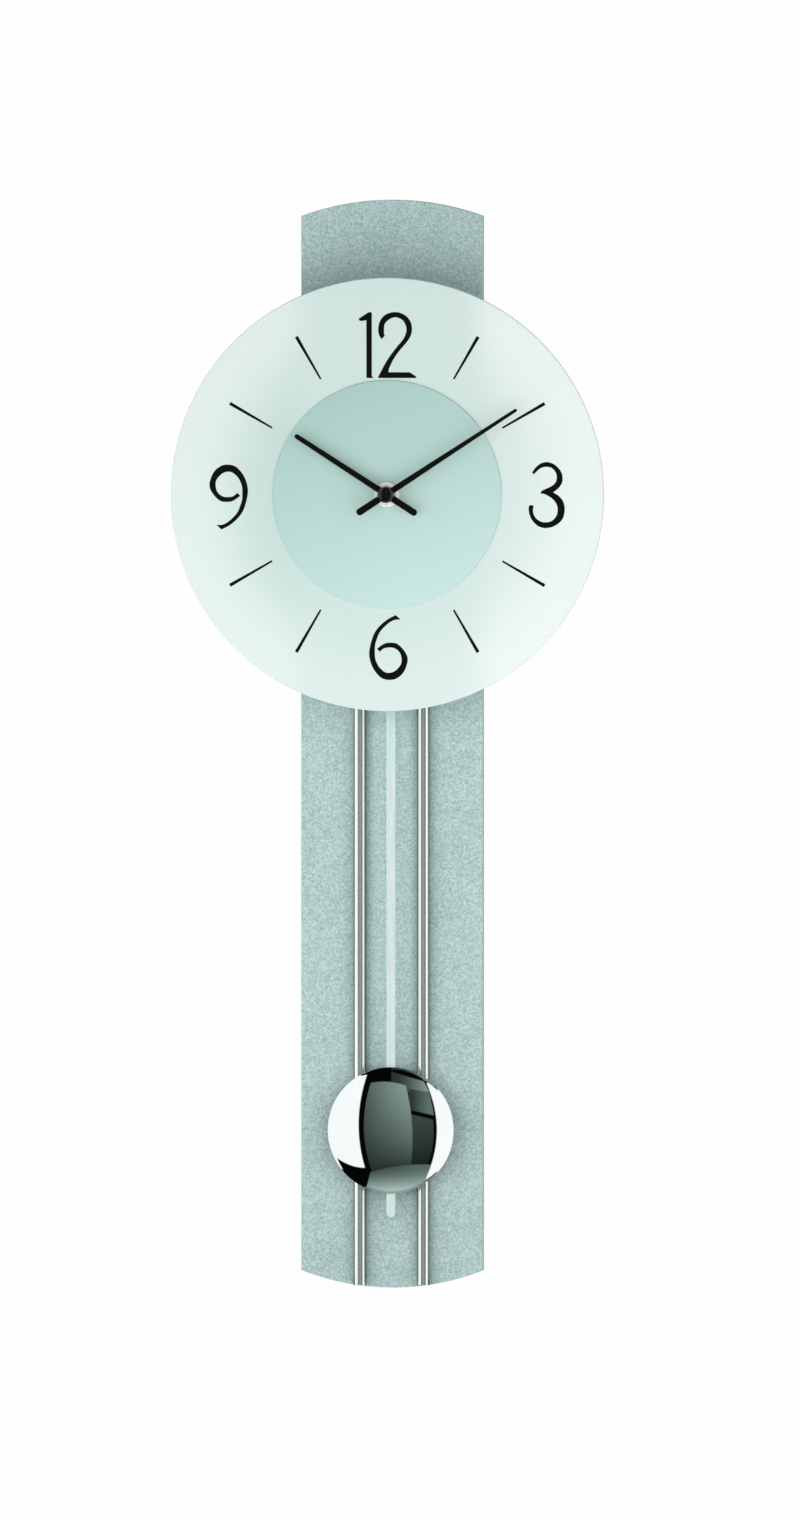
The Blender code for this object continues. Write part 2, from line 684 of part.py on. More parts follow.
def add_rear_case():
    side, top, bottom = CASE_HALF_WIDTH - CASE_WALL, CASE_TOP - CASE_WALL, CASE_BOTTOM + CASE_WALL
    floor, rib_left, rib_right, shelf = CASE_BACK + CASE_WALL, -0.0152, -0.0144, -0.0300
    mesh = flat_mesh("movement_rear_case", [case_outline()], CASE_BACK, CASE_SPLIT)
    case = add_object("movement_rear_case", mesh, "black plastic")
    rooms = [
        (-side, rib_left, shelf, top, floor, 0.045),
        (-side, rib_left, bottom, shelf - CASE_WALL, floor, 0.045),
        (rib_right, side, bottom, top, floor, 0.045),
    ]
    cut(case, boxes_mesh("rear_case_rooms", rooms))
    window = (-side + 0.001, rib_left - 0.001, shelf + 0.002, top - 0.002, 0.025, 0.031)
    cut(case, boxes_mesh("battery_window", [window]))
    cut(case, pivot_holes("rear_pivot_holes"))
    holes = [
        (*CENTRE, MINUTE_ARBOR_RADIUS + GAP, MINUTE_ARBOR_RADIUS + GAP, CASE_BACK + PIVOT_HOLE_DEPTH, 0.035),
        (*KNOB, 0.0013, 0.0013, 0.025, 0.035),
        (0, PIVOT_HEIGHT, 0.0015, 0.0015, 0.025, 0.0291),
    ]
    cut(case, cylinders_mesh("rear_case_holes", holes, 16))


def add_front_case():
    side, top, bottom = CASE_HALF_WIDTH - CASE_WALL, CASE_TOP - CASE_WALL, CASE_BOTTOM + CASE_WALL
    mesh = flat_mesh("movement_front_case", [case_outline()], CASE_SPLIT + GAP, CASE_FRONT)
    case = add_object("movement_front_case", mesh, "black plastic")
    cut(case, boxes_mesh("front_case_room", [(-side, side, bottom, top, 0.035, CASE_FRONT - CASE_WALL)]))
    join(case, cylinders_mesh("motion_post", [(*MOTION, 0.0008, 0.0008, 0.0446, 0.0512)], 12))
    cut(case, pivot_holes("front_pivot_holes"))
    bore = BUSH_RADIUS + GAP
    cut(case, cylinders_mesh("bush_hole", [(0, 0, bore, bore, 0.048, 0.055)], 24))


def add_battery():
    nub, body, foot = 0.0284, 0.0270, -0.0220
    profile = [
        (0, nub),
        (0.0027, nub),
        (0.0027, body),
        (BATTERY_RADIUS - 0.0006, body),
        (BATTERY_RADIUS, body - 0.0006),
        (BATTERY_RADIUS, foot + 0.0006),
        (BATTERY_RADIUS - 0.0006, foot),
        (0, foot),
    ]
    battery = add_turned("battery", profile, "battery", at=(BATTERY_X, 0, 0.0382), steps=20)
    battery.rotation_euler.x = -math.pi / 2
    contact = [(BATTERY_X - 0.005, BATTERY_X + 0.005, 0.0288, 0.0293, 0.0330, 0.0435)]
    add_object("battery_contact", boxes_mesh("battery_contact", contact), "steel")


def add_battery_spring():
    """A conical spring between the case and the battery's flat end."""
    curve = bpy.data.curves.new("battery_spring", "CURVE")
    curve.dimensions = "3D"
    curve.bevel_depth = 0.0003
    curve.bevel_resolution = 0
    curve.use_fill_caps = True
    turns, points, start, end = 3, 30, -0.0292, -0.0227
    spline = curve.splines.new("POLY")
    spline.points.add(points)
    for n, point in enumerate(spline.points):
        share = n / points
        radius, angle = 0.0048 - 0.0026 * share, 2 * math.pi * turns * share
        place = (radius * math.cos(angle), start + (end - start) * share, radius * math.sin(angle))
        point.co = (*place, 1)
    mesh = evaluated_mesh("battery_spring", curve)
    add_object("battery_spring", mesh, "steel", at=(BATTERY_X, 0, 0.0382))


def add_electronics():
    """Stepper motor parts, the circuit board and the coil that drives the pendulum."""
    rotor_x, rotor_y = ROTOR
    yoke = rounded_box(0.0095, 0.0295, -0.0310, -0.0022, 0.001, 2)
    gap = rounded_box(0.0140, 0.0250, -0.0300, -0.0170, 0.001, 2)
    outlines = [yoke, gap, circle((rotor_x, rotor_y), 0.0036, 24)]
    add_object("stator", flat_mesh("stator", outlines, 0.0372, 0.0388), "steel")
    bobbin = [(0.0055, 0.0104), (0.0055, 0.0094), (0.0046, 0.0094), (0.0046, 0.0010), (0.0055, 0.0010)]
    bobbin = [(0, 0.0104), *bobbin, (0.0055, 0), (0, 0)]
    coil = add_turned("stepper_coil", bobbin, "copper", at=(0.0143, -0.0232, 0.0380), steps=14)
    coil.rotation_euler.y = math.pi / 2
    board = rounded_box(-0.012, 0.030, -0.055, -0.014, 0.001, 2)
    add_object("circuit_board", flat_mesh("circuit_board", [board], 0.0489, 0.0501), "board")
    winding = [(0.0075, 0.0065), (0.0065, 0.0065), (0.0065, 0.0015), (0.0075, 0.0015), (0.0075, 0.0004)]
    winding = [(0.0075, 0.0075), *winding, (0.0020, 0.0004), (0.0020, 0.0075)]
    add_turned("pendulum_drive_coil", winding, "copper", at=(0, MAGNET_HEIGHT, 0.0296), steps=18)


# Pendulum


def add_pendulum_arm(swing):
    drop = PEG_HEIGHT - PIVOT_HEIGHT
    outline = arc((0, 0), 0.0045, -40, 220, 12) + arc((0, drop), 0.0040, 180, 360, 8)
    hole = circle((0, 0), 0.0025, 12)
    mesh = flat_mesh("pendulum_arm", [outline, hole], 0.0240, 0.0254)
    arm = add_object("pendulum_arm", mesh, "black plastic", parent=swing)
    hub = [(0.0032, 0.0276), (0.0032, 0.0219), (0.0015, 0.0219), (0.0015, 0.0276)]
    sleeve = add_turned("pendulum_arm_hub", hub, None, steps=16, parent=swing)
    boolean(arm, sleeve, "UNION")
    peg = cylinders_mesh("pendulum_arm_peg", [(0, drop, 0.0014, 0.0014, 0.0214, 0.0250)], 12)
    join(arm, peg, parent=swing)
    pin = [(0, 0.0289), (0.0012, 0.0289), (0.0012, 0.0216), (0.0026, 0.0216), (0.0026, 0.0206), (0, 0.0206)]
    add_turned("pendulum_pivot_pin", pin, "steel", at=(0, PIVOT_HEIGHT, 0), steps=16)
    magnet = [(0, MAGNET_HEIGHT - PIVOT_HEIGHT, 0.005, 0.005, 0.0257, 0.0276)]
    add_object("pendulum_magnet", cylinders_mesh("pendulum_magnet", magnet, 20), "magnet", parent=swing)


def add_pendulum_strip(swing):
    half, top, tip = STRIP_HALF_WIDTH, PEG_HEIGHT - PIVOT_HEIGHT, STRIP_TIP - PIVOT_HEIGHT
    neck = math.degrees(math.acos(half / STRIP_HEAD))
    outline = arc((0, top), STRIP_HEAD, -neck, 180 + neck, 12)
    outline += [(-half, tip + 0.0025), (-half * 0.4, tip + 0.0003), (0, tip)]
    outline += [(half * 0.4, tip + 0.0003), (half, tip + 0.0025)]
    eye = circle((0, top), 0.0017, 12)
    mesh = flat_mesh("pendulum_rod", [outline, eye], STRIP_BACK, STRIP_BACK + STRIP_THICKNESS)
    add_object("pendulum_rod", mesh, "satin", parent=swing)


def add_bob(swing):
    drop = BOB_HEIGHT - PIVOT_HEIGHT
    sphere = (BOB_RADIUS**2 + BOB_RISE**2) / (2 * BOB_RISE)
    edge = math.asin(BOB_RADIUS / sphere)
    centre = BOB_BACK + BOB_RISE - sphere
    inner_sphere = sphere - BOB_WALL
    inner_edge = math.acos((BOB_BACK - centre) / inner_sphere)

    def cap(radius, start, end, steps):
        angles = [start + (end - start) * n / steps for n in range(steps + 1)]
        return [(radius * math.sin(a), centre + radius * math.cos(a)) for a in angles]

    profile = cap(sphere, 0, edge, 8) + cap(inner_sphere, inner_edge, 0, 4)
    add_turned("bob_shell", profile, "chrome", at=(0, drop, 0), steps=48, parent=swing)
    radius = BOB_RADIUS - 0.0006
    back = [(0, 0.0250), (radius, 0.0250), (radius, 0.0240), (0, 0.0240)]
    add_turned("bob_back_plate", back, "steel", at=(0, drop, 0), steps=48, parent=swing)
    block = (-0.008, 0.008, drop - 0.010, drop + 0.010, 0.0214, 0.0237)
    clip = add_object("bob_clip", boxes_mesh("bob_clip", [block]), "steel", parent=swing)
    half = STRIP_HALF_WIDTH + GAP
    channel = (-half, half, drop - 0.011, drop + 0.011, 0.0222, 0.0240)
    cut(clip, boxes_mesh("bob_clip_channel", [channel]), parent=swing)


add_panel()
add_hanger()
add_trim_rods()
add_pillars()
add_mounting_plate()
add_dial()
add_bush()
add_going_train()
minute, hour = add_motion_work()
add_hand("hour_hand", HOUR_HAND, HOUR_HAND_BACK, HOUR_HAND_ANGLE, 0.0045, PIPE_RADIUS + GAP, hour)
minute_bore = MINUTE_ARBOR_RADIUS + GAP
add_hand("minute_hand", MINUTE_HAND, MINUTE_HAND_BACK, MINUTE_HAND_ANGLE, 0.0042, minute_bore, minute)
add_hand_cap(minute)
add_rear_case()
add_front_case()
add_battery()
add_battery_spring()
add_electronics()
pendulum = add_empty("pendulum_axis", at=(0, PIVOT_HEIGHT, 0), parent=stand)
add_pendulum_arm(pendulum)
add_pendulum_strip(pendulum)
add_bob(pendulum)
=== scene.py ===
"""Looks of a pendulum wall clock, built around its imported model.

Shapes are drawn in clock view: x to the right, y up from the dial's axis, z the depth from the wall
towards the viewer. Lengths are in metres unless a comment says otherwise. TO_WORLD turns clock view into
the row frame.
"""

import json
import math
import random

import bmesh
import bpy
from mathutils import Matrix, Vector

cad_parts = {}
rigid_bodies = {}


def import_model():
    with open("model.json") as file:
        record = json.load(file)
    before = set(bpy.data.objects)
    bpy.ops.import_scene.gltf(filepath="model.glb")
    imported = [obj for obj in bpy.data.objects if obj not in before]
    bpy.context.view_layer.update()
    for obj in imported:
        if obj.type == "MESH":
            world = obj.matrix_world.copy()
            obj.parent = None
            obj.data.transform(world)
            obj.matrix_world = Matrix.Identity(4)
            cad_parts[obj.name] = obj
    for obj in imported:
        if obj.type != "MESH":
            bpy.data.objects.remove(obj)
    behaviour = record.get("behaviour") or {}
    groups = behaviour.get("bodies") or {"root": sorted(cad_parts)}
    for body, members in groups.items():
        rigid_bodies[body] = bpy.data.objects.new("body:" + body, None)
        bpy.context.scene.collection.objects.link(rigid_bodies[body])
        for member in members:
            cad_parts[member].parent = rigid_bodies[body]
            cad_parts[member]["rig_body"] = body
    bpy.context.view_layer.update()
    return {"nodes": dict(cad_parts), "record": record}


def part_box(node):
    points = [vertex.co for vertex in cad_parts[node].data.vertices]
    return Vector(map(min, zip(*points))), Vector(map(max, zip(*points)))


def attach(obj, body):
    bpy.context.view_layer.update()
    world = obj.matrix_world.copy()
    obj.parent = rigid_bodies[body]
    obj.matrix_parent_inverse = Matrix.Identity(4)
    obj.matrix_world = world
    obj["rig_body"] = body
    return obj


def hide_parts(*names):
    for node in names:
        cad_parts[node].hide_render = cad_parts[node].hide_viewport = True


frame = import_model()

scene = bpy.context.scene
scene.view_settings.view_transform = "Standard"

MM = 0.001
glass_low, glass_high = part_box("dial_glass")
AXIS_HEIGHT = (glass_low.z + glass_high.z) / 2
TO_WORLD = Matrix.Translation((0, 0, AXIS_HEIGHT)) @ Matrix.Rotation(math.pi / 2, 4, "X")
FROM_WORLD = TO_WORLD.inverted()
BODY_OF = {node: obj["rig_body"] for node, obj in frame["nodes"].items()}
SLOT_OF = {part["node"]: part["material_slot"] for part in frame["record"]["subparts"]}


def clock_box(node):
    """The node's lowest and highest corners in clock view."""
    corners = [FROM_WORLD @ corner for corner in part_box(node)]
    return [Vector(map(pick, *corners)) for pick in (min, max)]


def middle(node):
    low, high = clock_box(node)
    return (low + high) / 2


def spot(node):
    """Where the node's middle is across the dial."""
    place = middle(node)
    return (place.x, place.y)


# Camera, floor and light


AZIMUTH, ELEVATION = math.radians(3.6), math.radians(1.5)
VIEWER = (  # the direction from the clock to its viewer
    math.sin(AZIMUTH) * math.cos(ELEVATION),
    -math.cos(AZIMUTH) * math.cos(ELEVATION),
    math.sin(ELEVATION),
)
DOME_TILT = 0.614  # sine of the slope at the rim of the pendulum's bob
AIM = Vector((0.005, -0.012, -0.3066))
DISTANCE, FARTHEST = 14.0, 30
LENS, SENSOR = 530.6, 36  # in millimetres


def add_camera():
    away = Vector(VIEWER)
    camera = bpy.data.objects.new("camera", bpy.data.cameras.new("camera"))
    camera.data.lens = LENS
    camera.data.sensor_width = SENSOR
    camera.data.sensor_fit = "VERTICAL"
    camera.data.sensor_height = SENSOR
    camera.data.clip_end = FARTHEST
    camera.location = AIM + away * DISTANCE
    camera.rotation_euler = away.to_track_quat("Z", "Y").to_euler()
    scene.collection.objects.link(camera)
    scene.camera = camera


def srgb(red, green, blue):
    """Linear colour of an 8-bit display colour."""
    return tuple(
        c / 12.92 if c <= 0.04045 else ((c + 0.055) / 1.055) ** 2.4
        for c in (red / 255, green / 255, blue / 255)
    )


class Nodes:
    """Short ways to add nodes to a tree. A value is a number, a tuple or another node's output."""

    def __init__(self, tree):
        self.tree = tree

    def add(self, kind, **settings):
        node = self.tree.nodes.new(kind)
        for name, value in settings.items():
            setattr(node, name, value)
        return node

    def put(self, socket, value):
        if isinstance(value, bpy.types.NodeSocket):
            self.tree.links.new(value, socket)
        elif isinstance(value, tuple) and len(value) == 3 and socket.type == "RGBA":
            socket.default_value = (*value, 1)
        else:
            socket.default_value = value

    def math(self, operation, a, b=0.0, c=0.0):
        node = self.add("ShaderNodeMath", operation=operation)
        for socket, value in zip(node.inputs, (a, b, c)):
            self.put(socket, value)
        return node.outputs[0]

    def span(self, value, low, high, to_low=0.0, to_high=1.0, soft=True):
        """value taken from low..high to to_low..to_high, held at both ends."""
        node = self.add("ShaderNodeMapRange", interpolation_type="SMOOTHSTEP" if soft else "LINEAR")
        for socket, number in zip(node.inputs, (value, low, high, to_low, to_high)):
            self.put(socket, number)
        return node.outputs[0]

    def mix(self, share, a, b):
        node = self.add("ShaderNodeMix", data_type="RGBA")
        self.put(node.inputs[0], share)
        self.put(node.inputs[6], a)
        self.put(node.inputs[7], b)
        return node.outputs[2]

    def place(self, stretch=(1, 1, 1)):
        coordinates = self.add("ShaderNodeTexCoord")
        mapping = self.add("ShaderNodeMapping")
        self.put(mapping.inputs["Vector"], coordinates.outputs["Object"])
        mapping.inputs["Scale"].default_value = stretch
        return mapping.outputs[0]

    def noise(self, scale, detail=3.0, stretch=(1, 1, 1)):
        node = self.add("ShaderNodeTexNoise")
        self.put(node.inputs["Vector"], self.place(stretch))
        node.inputs["Scale"].default_value = scale
        node.inputs["Detail"].default_value = detail
        return node.outputs["Fac"]

    def cells(self, scale, stretch=(1, 1, 1)):
        """A different random value in each small cell."""
        node = self.add("ShaderNodeTexVoronoi")
        self.put(node.inputs["Vector"], self.place(stretch))
        node.inputs["Scale"].default_value = scale
        split = self.add("ShaderNodeSeparateColor")
        self.put(split.inputs[0], node.outputs["Color"])
        return split.outputs[0]

    def axes(self):
        """A point's place to the right, towards the wall and up, in the row frame."""
        split = self.add("ShaderNodeSeparateXYZ")
        self.put(split.inputs[0], self.place())
        return split.outputs[0], split.outputs[1], split.outputs[2]

    def from_axis(self):
        """How far a point lies to the right of the dial's axis, above it, and from it."""
        right, _, height = self.axes()
        up = self.math("SUBTRACT", height, AXIS_HEIGHT)
        squares = self.math("ADD", self.math("MULTIPLY", right, right), self.math("MULTIPLY", up, up))
        return right, up, self.math("SQRT", squares)

    def bump(self, height, strength, distance):
        node = self.add("ShaderNodeBump")
        node.inputs["Strength"].default_value = strength
        node.inputs["Distance"].default_value = distance
        self.put(node.inputs["Height"], height)
        return node.outputs[0]


def add_world():
    """A plain studio. Bright metal mirrors walls and softboxes, placed as a bright dome shows them.

    The places are those on the dome's round face: across and up from its middle, with its rim at 1.
    """
    world = bpy.data.worlds.new("studio")
    world.use_nodes = True
    scene.world = world
    tree = world.node_tree
    tree.nodes.clear()
    n = Nodes(tree)
    facing = n.add("ShaderNodeVectorMath", operation="ADD")
    n.put(facing.inputs[0], n.add("ShaderNodeTexCoord").outputs["Generated"])
    facing.inputs[1].default_value = VIEWER
    unit = n.add("ShaderNodeVectorMath", operation="NORMALIZE")
    n.put(unit.inputs[0], facing.outputs[0])
    split = n.add("ShaderNodeSeparateXYZ")
    n.put(split.inputs[0], unit.outputs[0])
    across = n.math("DIVIDE", split.outputs[0], DOME_TILT)
    up = n.math("DIVIDE", split.outputs[2], DOME_TILT)

    def bow(along, start, slope=0.0, bend=0.0, about=0.0):
        """An edge: start + slope * along + bend * (along - about) squared."""
        off = n.math("SUBTRACT", along, about)
        curve = n.math("MULTIPLY_ADD", n.math("MULTIPLY", off, off), bend, start)
        return n.math("MULTIPLY_ADD", along, slope, curve)

    def beyond(value, edge, soft=0.010):
        return n.span(n.math("SUBTRACT", value, edge), -soft, soft)

    def short_of(value, edge, soft=0.010):
        return n.span(n.math("SUBTRACT", edge, value), -soft, soft)

    def patch(*edges):
        share = edges[0]
        for edge in edges[1:]:
            share = n.math("MULTIPLY", share, edge)
        return share

    def blend(value, low, high, at_low, at_high, power=1.0):
        share = n.math("POWER", n.span(value, low, high, soft=False), power)
        return n.mix(share, at_low, at_high)

    radius = n.math("SQRT", n.math("ADD", n.math("MULTIPLY", across, across), n.math("MULTIPLY", up, up)))
    ground_top = bow(across, -0.593, 0.19, -0.202)
    wall_left = bow(up, -0.408, 0, 0.225, 0.08)
    wall_right = bow(up, 0.366, 0, -0.173, -0.12)
    strip_left = bow(up, 0.745, 0, -0.31)
    white = (1.07, 1.08, 1.09)

    wall_high = blend(across, -0.38, 0.30, srgb(84, 100, 95), srgb(142, 164, 154))
    wall = blend(up, -0.62, 0.62, srgb(40, 50, 48), wall_high)
    ground_low = blend(across, -0.30, 0.50, srgb(58, 71, 68), srgb(92, 110, 106))
    ground_high = blend(across, -0.30, 0.50, srgb(170, 194, 187), srgb(194, 214, 208))
    ground = blend(up, -0.58, -0.97, ground_low, ground_high, 1.8)
    canopy = blend(across, 0.0, 0.58, srgb(44, 54, 52), srgb(142, 160, 152), 2.2)
    window = blend(across, 0.36, 0.64, srgb(50, 60, 58), srgb(100, 120, 112))
    cabinet = blend(up, -0.50, 0.15, srgb(32, 39, 38), srgb(60, 72, 69))

    mirrored = n.mix(n.span(radius, 1.02, 1.30), srgb(5, 6, 6), srgb(112, 124, 120))
    for share, colour in (
        (patch(beyond(radius, 0.965), beyond(across, 0.1), beyond(up, 0.60)), srgb(118, 136, 132)),
        (
            patch(
                beyond(across, 0.015),
                short_of(n.math("MULTIPLY_ADD", up, 0.524, across), 0.933),
                short_of(up, bow(across, 0.925, -0.30)),
                beyond(up, 0.60),
            ),
            canopy,
        ),
        (
            patch(
                beyond(across, 0.30),
                short_of(n.math("MULTIPLY_ADD", up, 0.217, across), 0.751),
                short_of(up, bow(across, 0.695, -0.152)),
                beyond(up, bow(across, 0.400, -0.24)),
            ),
            window,
        ),
        (
            patch(
                beyond(across, 0.30),
                short_of(across, bow(up, 0.695, 0, -0.35, -0.02)),
                short_of(up, bow(across, 0.343, -0.258)),
                beyond(up, -0.75),
            ),
            cabinet,
        ),
        (
            patch(
                beyond(across, wall_left),
                short_of(across, wall_right),
                short_of(up, bow(across, 0.765, 0, -0.50, -0.10)),
                beyond(up, -0.75),
            ),
            wall,
        ),
        (
            patch(beyond(across, bow(up, -0.121, 0.28)), short_of(across, 0.68), short_of(up, ground_top)),
            ground,
        ),
        (
            patch(
                beyond(across, strip_left),
                short_of(across, 1.25, 0.05),
                beyond(up, -0.78),
                short_of(up, 0.74),
            ),
            white,
        ),
        (
            patch(
                short_of(across, bow(up, -0.495, 0, 0.20, 0.10)),
                beyond(across, -1.20, 0.05),
                beyond(up, bow(across, -0.60, 0, 0.76, -0.414)),
                short_of(up, 1.15),
            ),
            white,
        ),
    ):
        mirrored = n.mix(share, mirrored, colour)

    # What lights dull surfaces: a little more from both sides, less from above.
    from_front, more_beside, from_above = 0.65, 0.06, 0.30
    direction = n.add("ShaderNodeSeparateXYZ")
    n.put(direction.inputs[0], n.add("ShaderNodeTexCoord").outputs["Generated"])
    beside = n.span(n.math("ABSOLUTE", direction.outputs[0]), 0.17, 0.94)
    level = n.math("MULTIPLY_ADD", beside, more_beside, from_front)
    above = n.span(direction.outputs[2], 0.0, 0.966, 1.0, from_above)
    dull = n.math("MULTIPLY", level, above)

    path = n.add("ShaderNodeLightPath")
    seen = n.mix(path.outputs["Is Glossy Ray"], dull, mirrored)
    seen = n.mix(path.outputs["Is Camera Ray"], seen, (0.99, 0.99, 0.99))
    background = n.add("ShaderNodeBackground")
    n.put(background.inputs["Color"], seen)
    output = n.add("ShaderNodeOutputWorld")
    n.put(output.inputs[0], background.outputs[0])


def add_light(name, at, aim, width, height, power):
    """A softbox for dull surfaces; what bright metal mirrors is painted in the world."""
    data = bpy.data.lights.new(name, "AREA")
    data.shape = "RECTANGLE"
    data.size, data.size_y, data.energy = width, height, power
    light = bpy.data.objects.new(name, data)
    light.location = at
    light.rotation_euler = (Vector(at) - Vector(aim)).to_track_quat("Z", "Y").to_euler()
    light.visible_camera = False
    light.visible_glossy = False
    scene.collection.objects.link(light)


# Materials


class Finish:
    """A material with a Principled shader; values are its sockets' names and numbers."""

    def __init__(self, name, **values):
        self.material = bpy.data.materials.new(name)
        self.material.use_nodes = True
        self.nodes = Nodes(self.material.node_tree)
        self.shader = self.material.node_tree.nodes["Principled BSDF"]
        for socket, value in values.items():
            self.set(socket.replace("_", " "), value)

    def set(self, socket, value):
        self.nodes.put(self.shader.inputs[socket], value)


def plain_finish(name, dark, light, rough, scale, metallic=0.0, stretch=(1, 1, 1), grain=0.2, **values):
    """A finish that varies finely between two colours and two roughnesses."""
    made = Finish(name, Metallic=metallic, **values)
    n = made.nodes
    pattern = n.noise(scale, 4.0, stretch)
    made.set("Base Color", n.mix(n.span(pattern, 0.3, 0.7), dark, light))
    made.set("Roughness", n.span(n.noise(scale * 0.37, 2.0, stretch), 0.3, 0.7, *rough))
    made.set("Normal", n.bump(pattern, grain, 0.05 * MM))
    return made.material


def lacquer_finish():
    """Silver-green metallic lacquer: flakes under a satin coat.

    On the panel's front, between the rods, the light they would throw on it is painted in as a lighter
    colour.
    """
    made = Finish("panel_lacquer", Metallic=0.15, Coat_Weight=0.1, Coat_Roughness=0.4)
    n = made.nodes
    flakes = n.cells(1050)
    clouds = n.noise(45, 3.0)
    fine = n.noise(650, 2.0)
    base = n.mix(n.span(clouds, 0.3, 0.7), srgb(182, 216, 213), srgb(188, 221, 218))
    right, up, _ = n.from_axis()
    _, back, _ = n.axes()
    front = clock_box("back_panel")[1].z
    # Painted light: the panel's front is lighter between the rods, fading out towards the bob and the dial.
    between = n.span(n.math("ABSOLUTE", right), 0.0105, 0.0165, 0.85, 0.0)
    on_front = n.span(back, 0.1 * MM - front, 0.8 * MM - front, 1.0, 0.0)
    reach = n.math("MULTIPLY", n.span(up, -0.46, -0.27), n.span(up, -0.12, -0.08, 1.0, 0.0))
    painted_rod_light = n.math("MULTIPLY", n.math("MULTIPLY", between, on_front), reach)
    base = n.mix(painted_rod_light, base, srgb(205, 240, 237))
    base = n.mix(n.span(fine, 0.25, 0.75), n.mix(0.20, base, (0, 0, 0)), base)
    made.set("Base Color", n.mix(flakes, n.mix(0.22, base, (0, 0, 0)), n.mix(0.22, base, (1, 1, 1))))
    made.set("Roughness", n.span(flakes, 0.0, 1.0, 0.42, 0.62))
    made.set("Normal", n.bump(flakes, 0.25, 0.08 * MM))
    return made.material


def frosted_glass_finish():
    """Etched glass with a pale green body; what stands behind it shows faintly through as painted shade, and
    painted light makes it lighter towards the right.
    """
    made = Finish("dial_glass_frosted", Coat_Weight=0.0, Specular_IOR_Level=0.35)
    n = made.nodes
    etch = n.noise(1800, 3.0)
    right, up, radius = n.from_axis()
    # Painted light: both tones are lighter towards the right; the inner one, near the disc, is darker.
    outer_tone_lit_right = n.mix(n.span(right, -0.11, 0.11), srgb(220, 233, 231), srgb(229, 239, 238))
    inside = n.mix(n.span(right, -0.08, 0.10), srgb(195, 217, 212), srgb(212, 228, 225))
    base = n.mix(n.span(radius, 0.070, 0.126), inside, outer_tone_lit_right)
    # Painted shade where the panel stands behind the glass, stronger above the axis than below.
    painted_panel_shade = n.span(n.math("ABSOLUTE", right), 0.040, 0.072, 1.0, 0.0)
    strength = n.span(up, -0.05, 0.05, 0.60, 0.90)
    base = n.mix(n.math("MULTIPLY", painted_panel_shade, strength), base, srgb(205, 224, 220))
    made.set("Base Color", n.mix(n.span(etch, 0.3, 0.7), n.mix(0.035, base, (0, 0, 0)), base))
    made.set("Roughness", n.span(etch, 0.3, 0.7, 0.42, 0.52))
    made.set("Normal", n.bump(etch, 0.12, 0.03 * MM))
    return made.material


def glass_edge_finish():
    """The ground edge of the glass, where its green body shows."""
    made = Finish("dial_glass_edge", Coat_Weight=0.6, Coat_Roughness=0.05)
    n = made.nodes
    ripple = n.noise(260, 2.0)
    made.set("Base Color", n.mix(n.span(ripple, 0.3, 0.7), srgb(92, 146, 141), srgb(116, 168, 162)))
    made.set("Roughness", n.span(ripple, 0.3, 0.7, 0.12, 0.22))
    made.set("Normal", n.bump(ripple, 0.08, 0.05 * MM))
    return made.material


def mint_finish():
    """Satin mint metal with painted light: a little lighter towards its foot and its right side, darker
    towards its upper left.
    """
    made = Finish("disc_mint", Metallic=0.15, Specular_IOR_Level=0.4)
    n = made.nodes
    grain = n.noise(1500, 3.0)
    right, up, _ = n.from_axis()
    # Painted light: lighter towards the lower right, darker towards the upper left.
    along = n.math("MULTIPLY_ADD", right, 0.42, n.math("MULTIPLY", up, -0.91))
    base = n.mix(n.span(along, -0.070, 0.070, soft=False), srgb(176, 210, 202), srgb(204, 233, 227))
    made.set("Base Color", n.mix(n.span(grain, 0.3, 0.7), n.mix(0.05, base, (0, 0, 0)), base))
    made.set("Roughness", n.span(grain, 0.3, 0.7, 0.36, 0.46))
    made.set("Normal", n.bump(grain, 0.12, 0.03 * MM))
    return made.material


def battery_finish():
    """A printed jacket with a coloured band at its positive end."""
    made = Finish("battery_jacket", Metallic=0.55, Coat_Weight=0.4, Coat_Roughness=0.15)
    n = made.nodes
    _, _, up = n.axes()
    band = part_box("battery")[1].z - 15.0 * MM
    sheen = n.noise(500, 2.0, (1, 1, 0.1))
    blue = n.mix(sheen, srgb(34, 66, 112), srgb(52, 92, 146))
    silver = n.mix(sheen, srgb(176, 180, 184), srgb(206, 210, 212))
    made.set("Base Color", n.mix(n.span(up, band - 0.05 * MM, band + 0.05 * MM), blue, silver))
    made.set("Roughness", n.span(sheen, 0.3, 0.7, 0.22, 0.34))
    made.set("Normal", n.bump(sheen, 0.05, 0.02 * MM))
    return made.material


def winding_finish():
    """Enamelled wire, turn beside turn."""
    made = Finish("copper_winding", Metallic=0.85, Coat_Weight=0.3, Coat_Roughness=0.2)
    n = made.nodes
    wires = n.add("ShaderNodeTexWave", bands_direction="Z")
    n.put(wires.inputs["Vector"], n.place())
    wires.inputs["Scale"].default_value = 1100
    made.set("Base Color", n.mix(wires.outputs["Fac"], srgb(120, 58, 30), srgb(206, 122, 78)))
    made.set("Roughness", n.span(wires.outputs["Fac"], 0.0, 1.0, 0.28, 0.45))
    made.set("Normal", n.bump(wires.outputs["Fac"], 0.6, 0.08 * MM))
    return made.material


